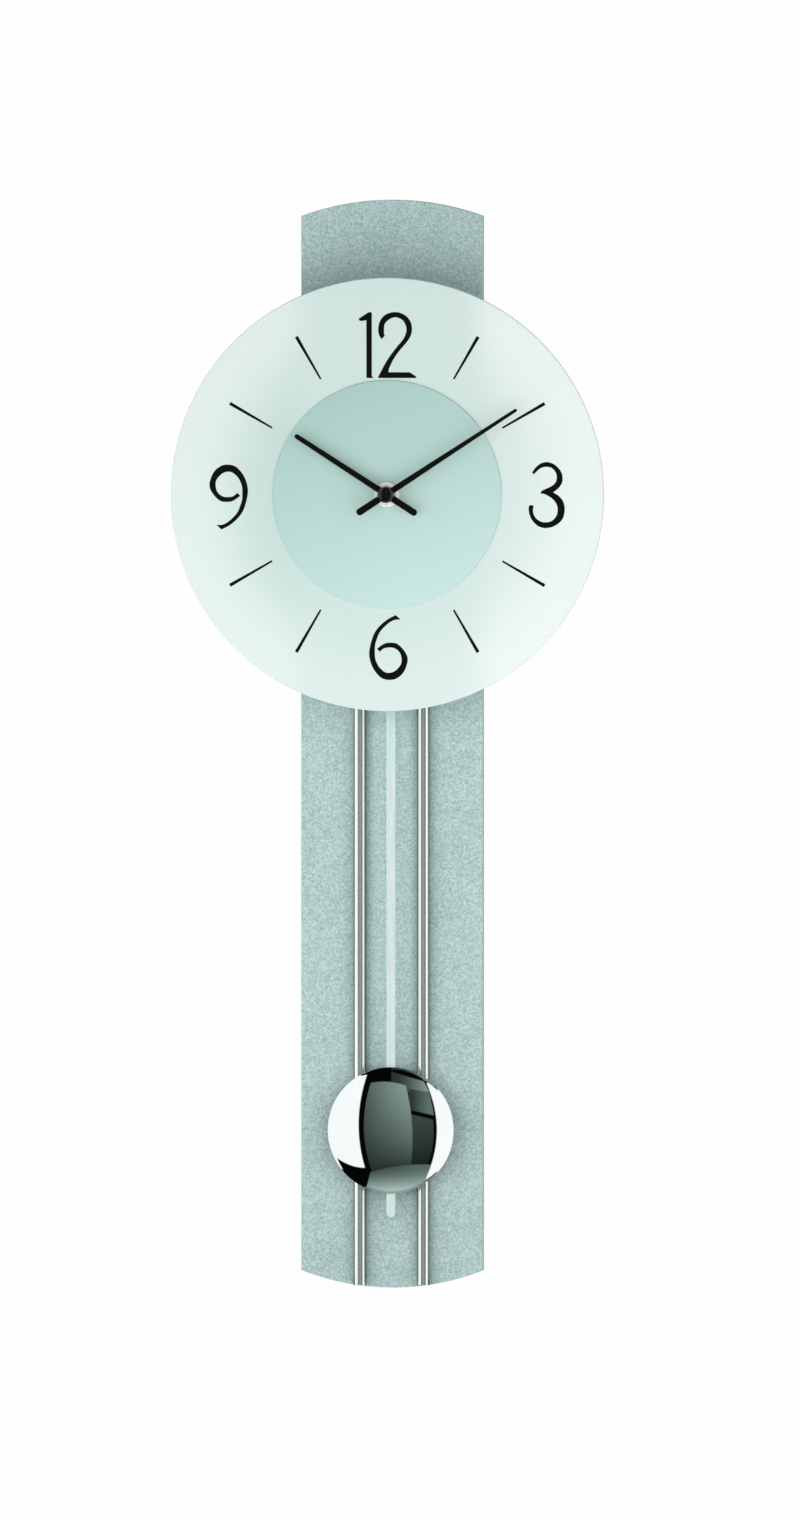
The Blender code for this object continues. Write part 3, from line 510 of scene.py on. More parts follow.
def rod_finish():
    """Bright chrome; on its flanks a painted reflection of the panel, with painted shade darker towards the
    gap behind the rod.
    """
    made = Finish("rod_chrome", Metallic=0.8)
    n = made.nodes
    _, back, _ = n.axes()
    low, high = clock_box("trim_rod_left")
    flank_start = 0.62  # as a share of the rod's radius, from its axis to its front
    flank = -(low.z + high.z) / 2 - flank_start * (high.x - low.x) / 2
    # Painted reflection and shade: the flanks are grey, darker towards the gap behind the rod.
    painted_flank_shade = n.mix(n.span(back, flank, -low.z, soft=False), srgb(118, 128, 125), srgb(48, 56, 54))
    drawn = n.noise(90, 4.0, (1, 1, 0.05))
    bright = n.mix(n.span(drawn, 0.3, 0.7), (0.84, 0.88, 0.87), (0.88, 0.92, 0.91))
    made.set("Base Color", n.mix(n.span(back, flank - 0.2 * MM, flank + 0.3 * MM), bright, painted_flank_shade))
    made.set("Roughness", n.span(drawn, 0.3, 0.7, 0.04, 0.06))
    return made.material


MATERIALS = {
    "panel_lacquer": lacquer_finish(),
    "steel": plain_finish(
        "steel",
        srgb(158, 162, 166),
        srgb(186, 190, 192),
        (0.28, 0.42),
        160,
        metallic=1.0,
        stretch=(1, 1, 0.15),
    ),
    "chrome": plain_finish(
        "chrome", (0.84, 0.88, 0.87), (0.87, 0.91, 0.90), (0.02, 0.035), 60, metallic=1.0, grain=0.0
    ),
    "case_plastic": plain_finish(
        "case_plastic", srgb(24, 25, 26), srgb(34, 35, 36), (0.45, 0.6), 1400, grain=0.35
    ),
    "wheel_plastic": plain_finish(
        "wheel_plastic", srgb(226, 224, 214), srgb(236, 234, 226), (0.35, 0.45), 600
    ),
    "magnet": plain_finish("magnet", srgb(58, 59, 61), srgb(84, 85, 88), (0.4, 0.55), 900, metallic=0.6),
    "copper": winding_finish(),
    "board": plain_finish("board", srgb(18, 78, 48), srgb(30, 104, 66), (0.25, 0.4), 220, Coat_Weight=0.4),
    "battery_jacket": battery_finish(),
    "brass": plain_finish("brass", srgb(214, 196, 150), srgb(228, 212, 172), (0.25, 0.38), 300, metallic=0.9),
    "rubber": plain_finish("rubber", srgb(20, 20, 20), srgb(32, 32, 32), (0.7, 0.85), 1100, grain=0.4),
    "dial_glass": frosted_glass_finish(),
    "disc_mint": mint_finish(),
    "strip_satin": plain_finish(
        "strip_satin",
        srgb(208, 228, 224),
        srgb(220, 237, 233),
        (0.38, 0.5),
        500,
        metallic=0.2,
        stretch=(1, 1, 0.06),
    ),
    "hand_black": plain_finish(
        "hand_black", srgb(5, 6, 6), srgb(10, 12, 12), (0.35, 0.48), 1200, grain=0.25, Specular_IOR_Level=0.25
    ),
}
EDGE = glass_edge_finish()
ROD_CHROME = rod_finish()
NUT = plain_finish("cream_nickel", srgb(248, 246, 237), srgb(254, 253, 247), (0.22, 0.34), 260, metallic=0.05)
CAP = plain_finish("cap_black", srgb(4, 5, 6), srgb(8, 10, 12), (0.16, 0.24), 700, grain=0.05)
INK = plain_finish(
    "dial_ink", srgb(4, 5, 5), srgb(9, 11, 11), (0.4, 0.5), 1500, grain=0.15, Specular_IOR_Level=0.25
)
DISC_EDGE = plain_finish("disc_edge", srgb(120, 172, 162), srgb(140, 190, 180), (0.3, 0.4), 400, metallic=0.3)


# Mesh code


def arc(centre, radius, start, end, steps):
    turns = [math.radians(start + (end - start) * k / steps) for k in range(steps + 1)]
    return [(centre[0] + radius * math.cos(a), centre[1] + radius * math.sin(a)) for a in turns]


def circle(centre, radius, steps=48):
    return arc(centre, radius, 0, 360, steps)[:-1]


def rounded_box(left, right, bottom, top, corner, steps=8):
    return (
        arc((right - corner, top - corner), corner, 0, 90, steps)
        + arc((left + corner, top - corner), corner, 90, 180, steps)
        + arc((left + corner, bottom + corner), corner, 180, 270, steps)
        + arc((right - corner, bottom + corner), corner, 270, 360, steps)
    )


def eased_value(a, b, c, d, t):
    """One coordinate of a smooth line through four points, at share t of the way from b to c."""
    square = (2 * a - 5 * b + 4 * c - d) * t * t
    return 0.5 * (2 * b + (c - a) * t + square + (3 * b - a - 3 * c + d) * t**3)


def through(points, steps=5):
    """A smooth line through the points."""
    line = []
    for k in range(len(points) - 1):
        near = (points[max(k - 1, 0)], points[k], points[k + 1], points[min(k + 2, len(points) - 1)])
        for step in range(steps):
            line.append(tuple(eased_value(*values, step / steps) for values in zip(*near)))
    return line + [points[-1]]


def soften(profile, radius, steps=4):
    """Rounds the corners of a closed outline that are off its axis and turn by 15 degrees or more."""
    made = []
    for k, point in enumerate(profile):
        here = Vector(point)
        back, ahead = Vector(profile[k - 1]) - here, Vector(profile[(k + 1) % len(profile)]) - here
        turn = 0 if here.x == 0 else math.pi - back.angle(ahead)
        if turn < math.radians(15):
            made.append(point)
            continue
        reach = min(radius * math.tan(turn / 2), 0.45 * back.length, 0.45 * ahead.length)
        start, end = here + back.normalized() * reach, here + ahead.normalized() * reach
        for step in range(steps + 1):
            t = step / steps
            place = start * (1 - t) ** 2 + here * 2 * t * (1 - t) + end * t * t
            made.append((place.x, place.y))
    return made


def mesh_of(obj):
    """The mesh an object shows, modifiers applied; the object itself goes away."""
    scene.collection.objects.link(obj)
    graph = bpy.context.evaluated_depsgraph_get()
    graph.update()
    mesh = bpy.data.meshes.new_from_object(obj.evaluated_get(graph), depsgraph=graph)
    bpy.data.objects.remove(obj)
    work = bmesh.new()
    work.from_mesh(mesh)
    bmesh.ops.remove_doubles(work, verts=work.verts, dist=1e-6)
    bmesh.ops.recalc_face_normals(work, faces=work.faces)
    work.to_mesh(mesh)
    work.free()
    return mesh


def flat(outlines, back, front, bevel=0.0):
    """A plate between two depths; outlines inside the first one are holes."""
    curve = bpy.data.curves.new("outline", "CURVE")
    curve.dimensions = "2D"
    curve.fill_mode = "BOTH"
    curve.extrude = (front - back) / 2 - bevel
    curve.bevel_depth = bevel
    curve.bevel_resolution = 3
    curve.offset = -bevel
    for outline in outlines:
        spline = curve.splines.new("POLY")
        spline.points.add(len(outline) - 1)
        spline.use_cyclic_u = True
        for point, (x, y) in zip(spline.points, outline):
            point.co = (x, y, 0, 1)
    mesh = mesh_of(bpy.data.objects.new("outline", curve))
    mesh.transform(Matrix.Translation((0, 0, (back + front) / 2)))
    return mesh


def turned(profile, steps=64, at=(0.0, 0.0)):
    """A profile of (radius, depth) points turned about the depth axis; it closes on itself."""
    work = bmesh.new()
    turns = [2 * math.pi * k / steps for k in range(steps)]
    rings = []
    for radius, depth in profile:
        ring = [(at[0] + radius * math.cos(a), at[1] + radius * math.sin(a), depth) for a in turns]
        rings.append([work.verts.new(place) for place in (ring if radius else ring[:1])])
    for one, other in zip(rings, rings[1:] + rings[:1]):
        if len(one) == 1 and len(other) == 1:
            continue
        for k in range(steps):
            following = (k + 1) % steps
            corners = [one[k % len(one)], one[following % len(one)]]
            corners += [other[following % len(other)], other[k % len(other)]]
            work.faces.new(list(dict.fromkeys(corners)))
    bmesh.ops.recalc_face_normals(work, faces=work.faces)
    mesh = bpy.data.meshes.new("turned")
    work.to_mesh(mesh)
    work.free()
    return mesh


def drum(radius, back, front, at=(0.0, 0.0), steps=32, soft=0.0):
    """A solid cylinder along the depth axis; soft is the radius of its rounded rims."""
    profile = [(0, back), (radius, back), (radius, front), (0, front)]
    return turned(soften(profile, soft) if soft else profile, steps, at)


def stood_up(mesh, node):
    """A mesh turned along the depth axis, set upright on the node's foot."""
    place = middle(node)
    foot = Matrix.Translation((place.x, clock_box(node)[0].y, place.z))
    mesh.transform(foot @ Matrix.Rotation(-math.pi / 2, 4, "X"))
    return mesh


def box_mesh(low, high):
    work = bmesh.new()
    bmesh.ops.create_cube(work, size=1)
    for vertex in work.verts:
        vertex.co = [(a + b) / 2 + c * (b - a) for a, b, c in zip(low, high, vertex.co)]
    mesh = bpy.data.meshes.new("box")
    work.to_mesh(mesh)
    work.free()
    return mesh


def combine(mesh, tools, operation="DIFFERENCE"):
    """Cuts the tools' meshes out of a mesh, or joins them to it."""
    obj = bpy.data.objects.new("work", mesh)
    helpers = []
    for tool in tools:
        helper = bpy.data.objects.new("tool", tool)
        scene.collection.objects.link(helper)
        helpers.append(helper)
        modifier = obj.modifiers.new("combine", "BOOLEAN")
        modifier.operation = operation
        modifier.solver = "EXACT"
        modifier.object = helper
    made = mesh_of(obj)
    for helper in helpers:
        bpy.data.objects.remove(helper)
    return made


def add_piece(name, mesh, material, node, replaces=True, others=(), crease=40):
    """A piece that rides with a CAD node's body, with the given materials; when it replaces the node, the
    node is hidden.
    """
    mesh.transform(TO_WORLD)
    mesh.materials.clear()
    for each in (material, *others):
        mesh.materials.append(each)
    mesh.polygons.foreach_set("use_smooth", [True] * len(mesh.polygons))
    mesh.set_sharp_from_angle(angle=math.radians(crease))
    mesh.name = name
    obj = bpy.data.objects.new(name, mesh)
    scene.collection.objects.link(obj)
    normals = obj.modifiers.new("normals", "WEIGHTED_NORMAL")
    normals.keep_sharp = True
    normals.weight = 100
    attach(obj, BODY_OF[node])
    if replaces:
        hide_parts(node)
    return obj


def cad_mesh(node):
    """A copy of a node's own mesh in clock view."""
    source = frame["nodes"][node]
    mesh = source.data.copy()
    mesh.transform(FROM_WORLD @ source.matrix_world)
    return mesh


def eased(mesh, width, sharp=35):
    """The mesh with its sharp edges rounded over."""
    obj = bpy.data.objects.new("work", mesh)
    modifier = obj.modifiers.new("ease", "BEVEL")
    modifier.width, modifier.segments = width, 2
    modifier.limit_method, modifier.angle_limit = "ANGLE", math.radians(sharp)
    return mesh_of(obj)


# Panel, hanger, screws, rods, pillars and mounting plate

SIDES = ("left", "right")
CORNERS = [f"{side}_{end}" for side in SIDES for end in ("upper", "lower")]
ROD_SCREWS = [f"rod_screw_{corner}" for corner in CORNERS]
PILLARS = [f"pillar_{corner}" for corner in CORNERS]
TOP_ARC, BOTTOM_ARC = 0.1642, 0.1548
WINDOW_HALF_WIDTH, WINDOW_HALF_HEIGHT, WINDOW_CORNER = 0.032, 0.050, 0.006
SCREW_SINK_RADIUS, SCREW_SINK_DEPTH = 0.0034, 0.0030
HANGER_GAP, POCKET_HALF_WIDTH, POCKET_CORNER, POCKET_DEPTH = 0.3 * MM, 0.0070, 0.0030, 0.0095
KEYHOLE_RADIUS, SLOT_HALF_WIDTH = 0.0048, 0.0023
PAN_HEAD, LOW_HEAD, SHANK = 0.0020, 0.0009, 0.0015
BORE = 0.0051


def panel_outline(low, high):
    """Straight sides with an arc across the top and the bottom."""
    half = (high.x - low.x) / 2
    outline = []
    for radius, end, turn in ((TOP_ARC, high.y, 90), (BOTTOM_ARC, low.y, 270)):
        spread = math.degrees(math.asin(half / radius))
        centre = end - radius if turn == 90 else end + radius
        outline += arc((0, centre), radius, turn - spread, turn + spread, 48)
    return outline


def add_panel():
    low, high = clock_box("back_panel")
    window = rounded_box(
        -WINDOW_HALF_WIDTH, WINDOW_HALF_WIDTH, -WINDOW_HALF_HEIGHT, WINDOW_HALF_HEIGHT, WINDOW_CORNER
    )
    mesh = flat([panel_outline(low, high), window], low.z, high.z, bevel=0.5 * MM)
    places = [spot(name) for name in (*ROD_SCREWS, *PILLARS)]
    tools = [drum(SCREW_SINK_RADIUS, -0.002, SCREW_SINK_DEPTH, at, 48) for at in places]
    low, high = clock_box("hanger_plate")
    gap = HANGER_GAP
    recess = rounded_box(low.x - gap, high.x + gap, low.y - gap, high.y + gap, 0.0033)
    tools.append(flat([recess], -0.001, high.z + gap))
    pocket = rounded_box(
        -POCKET_HALF_WIDTH, POCKET_HALF_WIDTH, low.y + 0.003, high.y - 0.0065, POCKET_CORNER
    )
    tools.append(flat([pocket], 0.001, POCKET_DEPTH))
    add_piece("lacquered_panel", combine(mesh, tools), MATERIALS["panel_lacquer"], "back_panel")


def add_hanger():
    low, high = clock_box("hanger_plate")
    hole_at, slot_end = low.y + 0.0095, high.y - 0.0112
    meet = math.degrees(math.asin(SLOT_HALF_WIDTH / KEYHOLE_RADIUS))
    keyhole = arc((0, hole_at), KEYHOLE_RADIUS, 90 + meet, 450 - meet, 40)
    keyhole += arc((0, slot_end), SLOT_HALF_WIDTH, 0, 180, 16)
    outline = rounded_box(low.x, high.x, low.y, high.y, 0.003)
    mesh = flat([outline, keyhole], low.z, high.z, bevel=0.2 * MM)
    sink = [(0, -0.0003), (0.0037, -0.0003), (0.0014, 0.0023), (0, 0.0023)]
    sinks = [turned(sink, 48, spot(f"hanger_screw_{side}")) for side in SIDES]
    add_piece("keyhole_plate", combine(mesh, sinks), MATERIALS["steel"], "hanger_plate")


def cross_recess(radius, seat, depth, turn, at):
    """A driver's cross, ready to be cut from a screw's head."""
    tools = []
    for angle in (turn, turn + 90):
        bar = box_mesh((-radius, -0.2 * radius, -depth), (radius, 0.2 * radius, depth))
        bar.transform(Matrix.Translation((*at, seat)) @ Matrix.Rotation(math.radians(angle), 4, "Z"))
        tools.append(bar)
    return tools


def add_screw(name, profile, *recess):
    """A turned screw; recess is its cross's radius, place, depth and turn."""
    at = spot(name)
    mesh = combine(turned(profile, 40, at), cross_recess(*recess, at))
    add_piece(f"{name}_cross_head", mesh, MATERIALS["steel"], name)


def add_screws():
    """Pan heads at the back, low heads on the mounting plate and sunk heads in the hanger.

    Each one is turned its own way.
    """
    draw = random.Random(7)
    pillar_screws = [f"{kind}_screw_{corner}" for kind in ("pillar", "plate") for corner in CORNERS]
    for name in (*ROD_SCREWS, *pillar_screws):
        low, high = clock_box(name)
        front = name.startswith("plate")
        head, facing = (LOW_HEAD, -1) if front else (PAN_HEAD, 1)
        seat = high.z - head if front else low.z + head
        end = low.z if front else high.z
        top = seat - facing * head
        radius = (high.x - low.x) / 2
        dome = [(radius * math.cos(a), seat - facing * head * math.sin(a)) for a in (0, 0.5, 0.9, 1.2, 1.4)]
        profile = [(0, end), (SHANK * 0.8, end), (SHANK, end - facing * 0.0004), (SHANK, seat), *dome]
        profile += [(0, top)]
        add_screw(name, profile, radius * 0.55, top, head * 0.55, draw.uniform(0, 90))
    for side in SIDES:
        name = f"hanger_screw_{side}"
        low, high = clock_box(name)
        profile = [(0, high.z), (0.0011, high.z - 0.0015), (0.0011, 0.0020), (0.0028, low.z), (0, low.z)]
        add_screw(name, profile, 0.0016, low.z, 0.0009, draw.uniform(0, 90))


def add_rods():
    for side in SIDES:
        name = f"trim_rod_{side}"
        low, high = clock_box(name)
        mesh = drum((high.x - low.x) / 2, 0, high.y - low.y, steps=96, soft=0.4 * MM)
        add_piece(f"chrome_rod_{side}", stood_up(mesh, name), ROD_CHROME, name)


def add_frame():
    for node in PILLARS:
        low, high = clock_box(node)
        mesh = drum((high.x - low.x) / 2, low.z, high.z, spot(node), 64, 0.4 * MM)
        add_piece(f"{node}_turned", mesh, MATERIALS["steel"], node)
    low, high = clock_box("mounting_plate")
    outline = rounded_box(low.x, high.x, low.y, high.y, 0.010, 12)
    mesh = flat([outline, circle((0, 0), BORE)], low.z, high.z, bevel=0.2 * MM)
    add_piece("mounting_plate_pressed", mesh, MATERIALS["steel"], "mounting_plate")


# Dial


def ring_profile(node, soft):
    """A ring around the dial's bore, with its outer corners rounded."""
    low, high = clock_box(node)
    across = (high.x - low.x) / 2 - soft
    return [
        *arc((across, low.z + soft), soft, -90, 0, 4),
        *arc((across, high.z - soft), soft, 0, 90, 4),
        (BORE, high.z),
        (BORE, low.z),
    ]


def add_disc(name, node, soft, rim, steps, finishes):
    """A round plate; its outermost part, as wide as rim, has the second finish."""
    mesh = turned(ring_profile(node, soft), steps)
    rim_start = clock_box(node)[1].x - rim
    for face in mesh.polygons:
        if math.hypot(face.center.x, face.center.y) > rim_start:
            face.material_index = 1
    add_piece(name, mesh, finishes[0], node, others=finishes[1:])


def add_dial():
    glass = (MATERIALS["dial_glass"], EDGE)
    add_disc("frosted_dial_glass", "dial_glass", 0.7 * MM, 0.75 * MM, 256, glass)
    mint = (MATERIALS["disc_mint"], DISC_EDGE)
    add_disc("mint_disc", "centre_disc", 0.25 * MM, 0.3 * MM, 200, mint)
    for node, name, material in (
        ("rubber_washer", "rubber_washer_moulded", MATERIALS["rubber"]),
        ("front_washer", "front_washer_pressed", MATERIALS["steel"]),
    ):
        add_piece(name, turned(ring_profile(node, 0.15 * MM), 96), material, node)

    front = clock_box("round_nut")[1].z
    mesh = turned(ring_profile("round_nut", 0.45 * MM), 96)
    slot = box_mesh((-0.0008, -0.009, front - 0.0012), (0.0008, 0.009, front + 0.001))
    add_piece("slotted_nut", combine(mesh, [slot]), NUT, "round_nut")


# Hands

HOUR_HAND = (0.0680, 0.0224, 0.0021, 0.0020, 0.0015)  # tip, tail and half widths at tail, hub and tip
MINUTE_HAND = (0.0973, 0.0217, 0.0022, 0.0020, 0.0010)
HOUR_ANGLE, MINUTE_ANGLE = 147.1, 33.1  # in degrees, anticlockwise from the 3


def hand_outline(tip, tail, tail_half, hub_half, tip_half):
    """A straight bar with round ends, widest at its tail. It points along +x."""
    outline = arc((tip - tip_half, 0), tip_half, -90, 90, 16)
    outline += [(0, hub_half)]
    outline += arc((-tail + tail_half, 0), tail_half, 90, 270, 16)
    return outline + [(0, -hub_half)]


def add_hand(node, name, shape, angle, hub, bore):
    low, high = clock_box(node)
    mesh = flat([hand_outline(*shape)], low.z + 0.6 * MM, high.z - 0.2 * MM, bevel=0.12 * MM)
    mesh.transform(Matrix.Rotation(math.radians(angle), 4, "Z"))
    boss = drum(hub, low.z, high.z, steps=64, soft=0.15 * MM)
    hole = drum(bore, low.z - MM, high.z + MM, steps=48)
    mesh = combine(combine(mesh, [boss], "UNION"), [hole])
    add_piece(name, mesh, MATERIALS["hand_black"], node)


def add_hands():
    add_hand("hour_hand", "hour_hand_black", HOUR_HAND, HOUR_ANGLE, 0.0045, 0.0030)
    add_hand("minute_hand", "minute_hand_black", MINUTE_HAND, MINUTE_ANGLE, 0.0042, 0.0018)
    low, high = clock_box("hand_cap")
    radius, rise = (high.x - low.x) / 2, high.z - low.z
    bore, bore_depth = 0.0018, low.z + 2.5 * MM
    turns = [math.pi / 2 * k / 12 for k in range(13)]
    dome = [(radius * math.sin(a), low.z + rise * (0.62 + 0.38 * math.cos(a))) for a in turns]
    profile = [*dome, (radius, low.z + 0.2 * MM), (radius - 0.2 * MM, low.z), (bore, low.z)]
    profile += [(bore, bore_depth), (0, bore_depth)]
    add_piece("hand_cap_domed", turned(profile, 64), CAP, "hand_cap")


# Print on the dial. The numerals' outlines are in millimetres from the dial's axis; the 9 is a turned 6.

ONE = [
    (-9.6, 113.2), (-9.6, 73.8), (-8.9, 73.0), (-8.9, 72.5), (-13.0, 72.5), (-13.0, 108.5),
    (-15.4, 108.0), (-17.1, 108.1), (-18.0, 109.2), (-17.1, 109.9), (-11.9, 113.3), (-10.6, 113.6),
]
TWO = [
    *through([
        (-3.5, 96.7), (-4.9, 98.9), (-5.6, 102.5), (-4.9, 107.0), (-2.5, 110.8), (1.0, 112.9), (5.2, 113.6),
        (9.1, 112.7), (12.5, 110.5), (14.8, 107.0), (15.5, 103.1), (15.0, 99.9), (13.5, 96.7), (10.7, 93.1),
        (6.8, 88.5), (4.2, 84.6), (2.3, 81.0), (1.0, 77.8), (0.9, 76.1),
    ]),
    (14.0, 76.1), (18.1, 73.4), (18.1, 72.5), (-5.6, 72.5),
    *through([
        (-5.6, 73.2), (-3.6, 77.1), (-1.0, 82.0), (2.3, 87.0), (6.2, 92.1), (9.7, 96.3), (11.4, 99.6),
        (12.0, 102.8), (11.4, 105.6), (9.7, 108.4), (7.1, 109.9), (5.2, 110.3), (2.6, 109.7), (-0.3, 107.7),
        (-1.8, 105.4), (-2.0, 102.1), (-1.9, 99.7), (-1.4, 98.9),
    ]),
]
THREE = [
    *through([
        (90.3, 13.7), (92.4, 16.7), (95.6, 19.3), (99.2, 20.3), (102.8, 19.5), (106.0, 17.4), (108.6, 13.9),
        (109.4, 10.3), (108.8, 6.9), (106.7, 3.9), (103.5, 1.4),
    ])[:-1],
    *through([
        (103.5, 1.4), (106.7, -0.6), (109.3, -3.5), (110.6, -7.4), (110.6, -10.9), (109.6, -14.6),
        (107.0, -17.8), (103.5, -19.9), (99.6, -20.8), (96.6, -20.6), (93.4, -19.1), (90.4, -16.0),
        (88.7, -12.3), (88.2, -9.3), (88.4, -7.1),
    ]),
    (89.3, -6.5), (90.9, -6.7),
    *through([
        (91.3, -7.4), (90.9, -10.0), (91.6, -12.9), (93.5, -15.4), (96.6, -17.0), (99.6, -17.2),
        (102.5, -16.4), (105.1, -13.9), (106.2, -10.9), (106.2, -8.0), (105.1, -5.1), (102.8, -2.4),
        (99.9, -0.6), (97.9, 0.4), (95.8, 0.6),
    ]),
    (95.6, 1.1),
    *through([
        (96.8, 2.7), (99.9, 4.0), (103.5, 6.0), (105.4, 8.5), (105.7, 11.4), (105.1, 13.7), (102.8, 16.4),
        (100.2, 17.2), (97.9, 17.2), (95.3, 16.2), (93.0, 14.2), (91.4, 12.6),
    ]),
]
SIX = [
    *through([
        (5.3, -75.1), (2.0, -76.7), (-1.6, -79.1), (-5.6, -82.9), (-8.3, -87.0), (-10.1, -92.2),
        (-11.2, -97.7), (-10.9, -102.3), (-9.5, -106.8), (-7.2, -110.7), (-4.3, -113.8), (-1.6, -115.1),
        (1.3, -115.5), (4.5, -115.1), (7.8, -113.3), (10.4, -110.4), (12.0, -106.8), (12.8, -102.9),
        (12.0, -99.6), (9.7, -96.1), (7.1, -93.6), (4.9, -92.5), (2.0, -92.3), (-1.0, -92.6), (-3.6, -94.0),
        (-6.4, -96.1),
    ]),
    *through([
        (-4.6, -98.0), (-2.6, -96.2), (-0.3, -95.4), (3.4, -95.4), (6.2, -96.7), (8.1, -99.0),
        (8.9, -101.9), (8.7, -105.2), (7.1, -107.8), (4.5, -110.1), (1.3, -111.1), (-1.6, -110.5),
        (-4.6, -108.0), (-6.5, -104.9), (-7.6, -101.3), (-7.7, -97.0), (-7.5, -93.5), (-6.2, -89.3),
        (-4.3, -85.3), (-0.7, -81.4), (2.6, -79.0), (5.2, -78.0), (8.4, -77.9),
    ]),
]
SIX_MIDDLE, NINE_MIDDLE = (0.85, -95.2), (-99.0, -1.8)
NINE = [(SIX_MIDDLE[0] + NINE_MIDDLE[0] - x, SIX_MIDDLE[1] + NINE_MIDDLE[1] - y) for x, y in SIX]
HOUR_LINES = (1, 2, 4, 5, 7, 8, 10, 11)
LINE_INNER, LINE_OUTER = 0.0829, 0.1134
LINE_INNER_HALF, LINE_OUTER_HALF = 0.55 * MM, 1.05 * MM
INK_LIFT, INK_THICKNESS = 0.01 * MM, 0.05 * MM


def add_print():
    face = clock_box("dial_glass")[1].z + INK_LIFT
    for name, outlines in (("12", (ONE, TWO)), ("3", (THREE,)), ("6", (SIX,)), ("9", (NINE,))):
        scaled = [[(x * MM, y * MM) for x, y in outline] for outline in outlines]
        mesh = flat(scaled, face, face + INK_THICKNESS)
        add_piece(f"numeral_{name}", mesh, INK, "dial_glass", replaces=False)
    line = [
        (LINE_INNER, -LINE_INNER_HALF),
        (LINE_OUTER, -LINE_OUTER_HALF),
        (LINE_OUTER, LINE_OUTER_HALF),
        (LINE_INNER, LINE_INNER_HALF),
    ]
    for hour in HOUR_LINES:
        mesh = flat([line], face, face + INK_THICKNESS)
        mesh.transform(Matrix.Rotation(math.radians(90 - 30 * hour), 4, "Z"))
        add_piece(f"hour_line_{hour}", mesh, INK, "dial_glass", replaces=False)


# Movement

WALL = 1.6 * MM
CASE_CORNER, CASE_BEVEL = 4.0 * MM, 0.6 * MM
GRIP_RADIUS, GRIP_WAVE, GRIP_WAVES, GRIP_HEIGHT = 5.9 * MM, 0.6 * MM, 16, 4.8 * MM
ARBORS = ("third_wheel", "second_wheel", "intermediate_wheel", "rotor")


def case_blank(low, high):
    outline = rounded_box(low.x, high.x, low.y, high.y, CASE_CORNER)
    return flat([outline], low.z, high.z, bevel=CASE_BEVEL)


def add_rear_case():
    """Three pockets, the battery's opening, holes and sinks for shafts, and six shallow slots."""
    low, high = clock_box("movement_rear_case")
    rib, shelf, floor = -14.8 * MM, -30.0 * MM, low.z + WALL
    left, right, bottom, top = low.x + WALL, high.x - WALL, low.y + WALL, high.y - WALL
    edge, above, below = 0.4 * MM, high.z + MM, low.z - MM
    opening = rounded_box(left + MM, rib - edge - MM, shelf + 2 * MM, top - 2 * MM, 2.0 * MM)
    tools = [
        flat([rounded_box(left, rib - edge, shelf, top, 1.5 * MM)], floor, above),
        flat([rounded_box(left, rib - edge, bottom, shelf - WALL, 1.5 * MM)], floor, above),
        flat([rounded_box(rib + edge, right, bottom, top, 1.5 * MM)], floor, above),
        flat([opening], below, floor + MM),
        drum(1.8 * MM, low.z + 0.8 * MM, floor + MM),
        drum(1.3 * MM, below, floor + MM, spot("setting_knob")),
        drum(1.5 * MM, below, low.z + 1.1 * MM, spot("pendulum_pivot_pin")),
    ]
    tools += [drum(0.8 * MM, low.z + 0.8 * MM, floor + MM, spot(node)) for node in ARBORS]
    sink_inner, sink_outer, sink_end = 1.0 * MM, 7.4 * MM, low.z + 0.3 * MM
    sink = [(sink_inner, below), (sink_outer, below), (sink_outer, sink_end), (sink_inner, sink_end)]
    tools.append(turned(sink, 64, spot("setting_knob")))
    for row in range(6):
        height = (-36.0 - 3.0 * row) * MM
        slot = rounded_box(8.0 * MM, 27.0 * MM, height, height + 1.2 * MM, 0.6 * MM)
        tools.append(flat([slot], below, low.z + 0.5 * MM))
    mesh = combine(case_blank(low, high), tools)
    add_piece("rear_case_moulded", mesh, MATERIALS["case_plastic"], "movement_rear_case")


def add_front_case():
    """One pocket with a post for the motion wheel, sinks for the arbors and the hole for the bush."""
    low, high = clock_box("movement_front_case")
    ceiling = high.z - WALL
    inside = rounded_box(low.x + WALL, high.x - WALL, low.y + WALL, high.y - WALL, CASE_CORNER - WALL)
    mesh = combine(case_blank(low, high), [flat([inside], low.z - MM, ceiling)])
    post = drum(0.8 * MM, 44.6 * MM, ceiling + 0.8 * MM, spot("motion_wheel"))
    mesh = combine(mesh, [post], "UNION")
    tools = [drum(0.8 * MM, ceiling - MM, high.z - 0.8 * MM, spot(node)) for node in ARBORS]
    tools.append(drum(BORE, ceiling - 2.4 * MM, high.z + MM))
    add_piece("front_case_moulded", combine(mesh, tools), MATERIALS["case_plastic"], "movement_front_case")


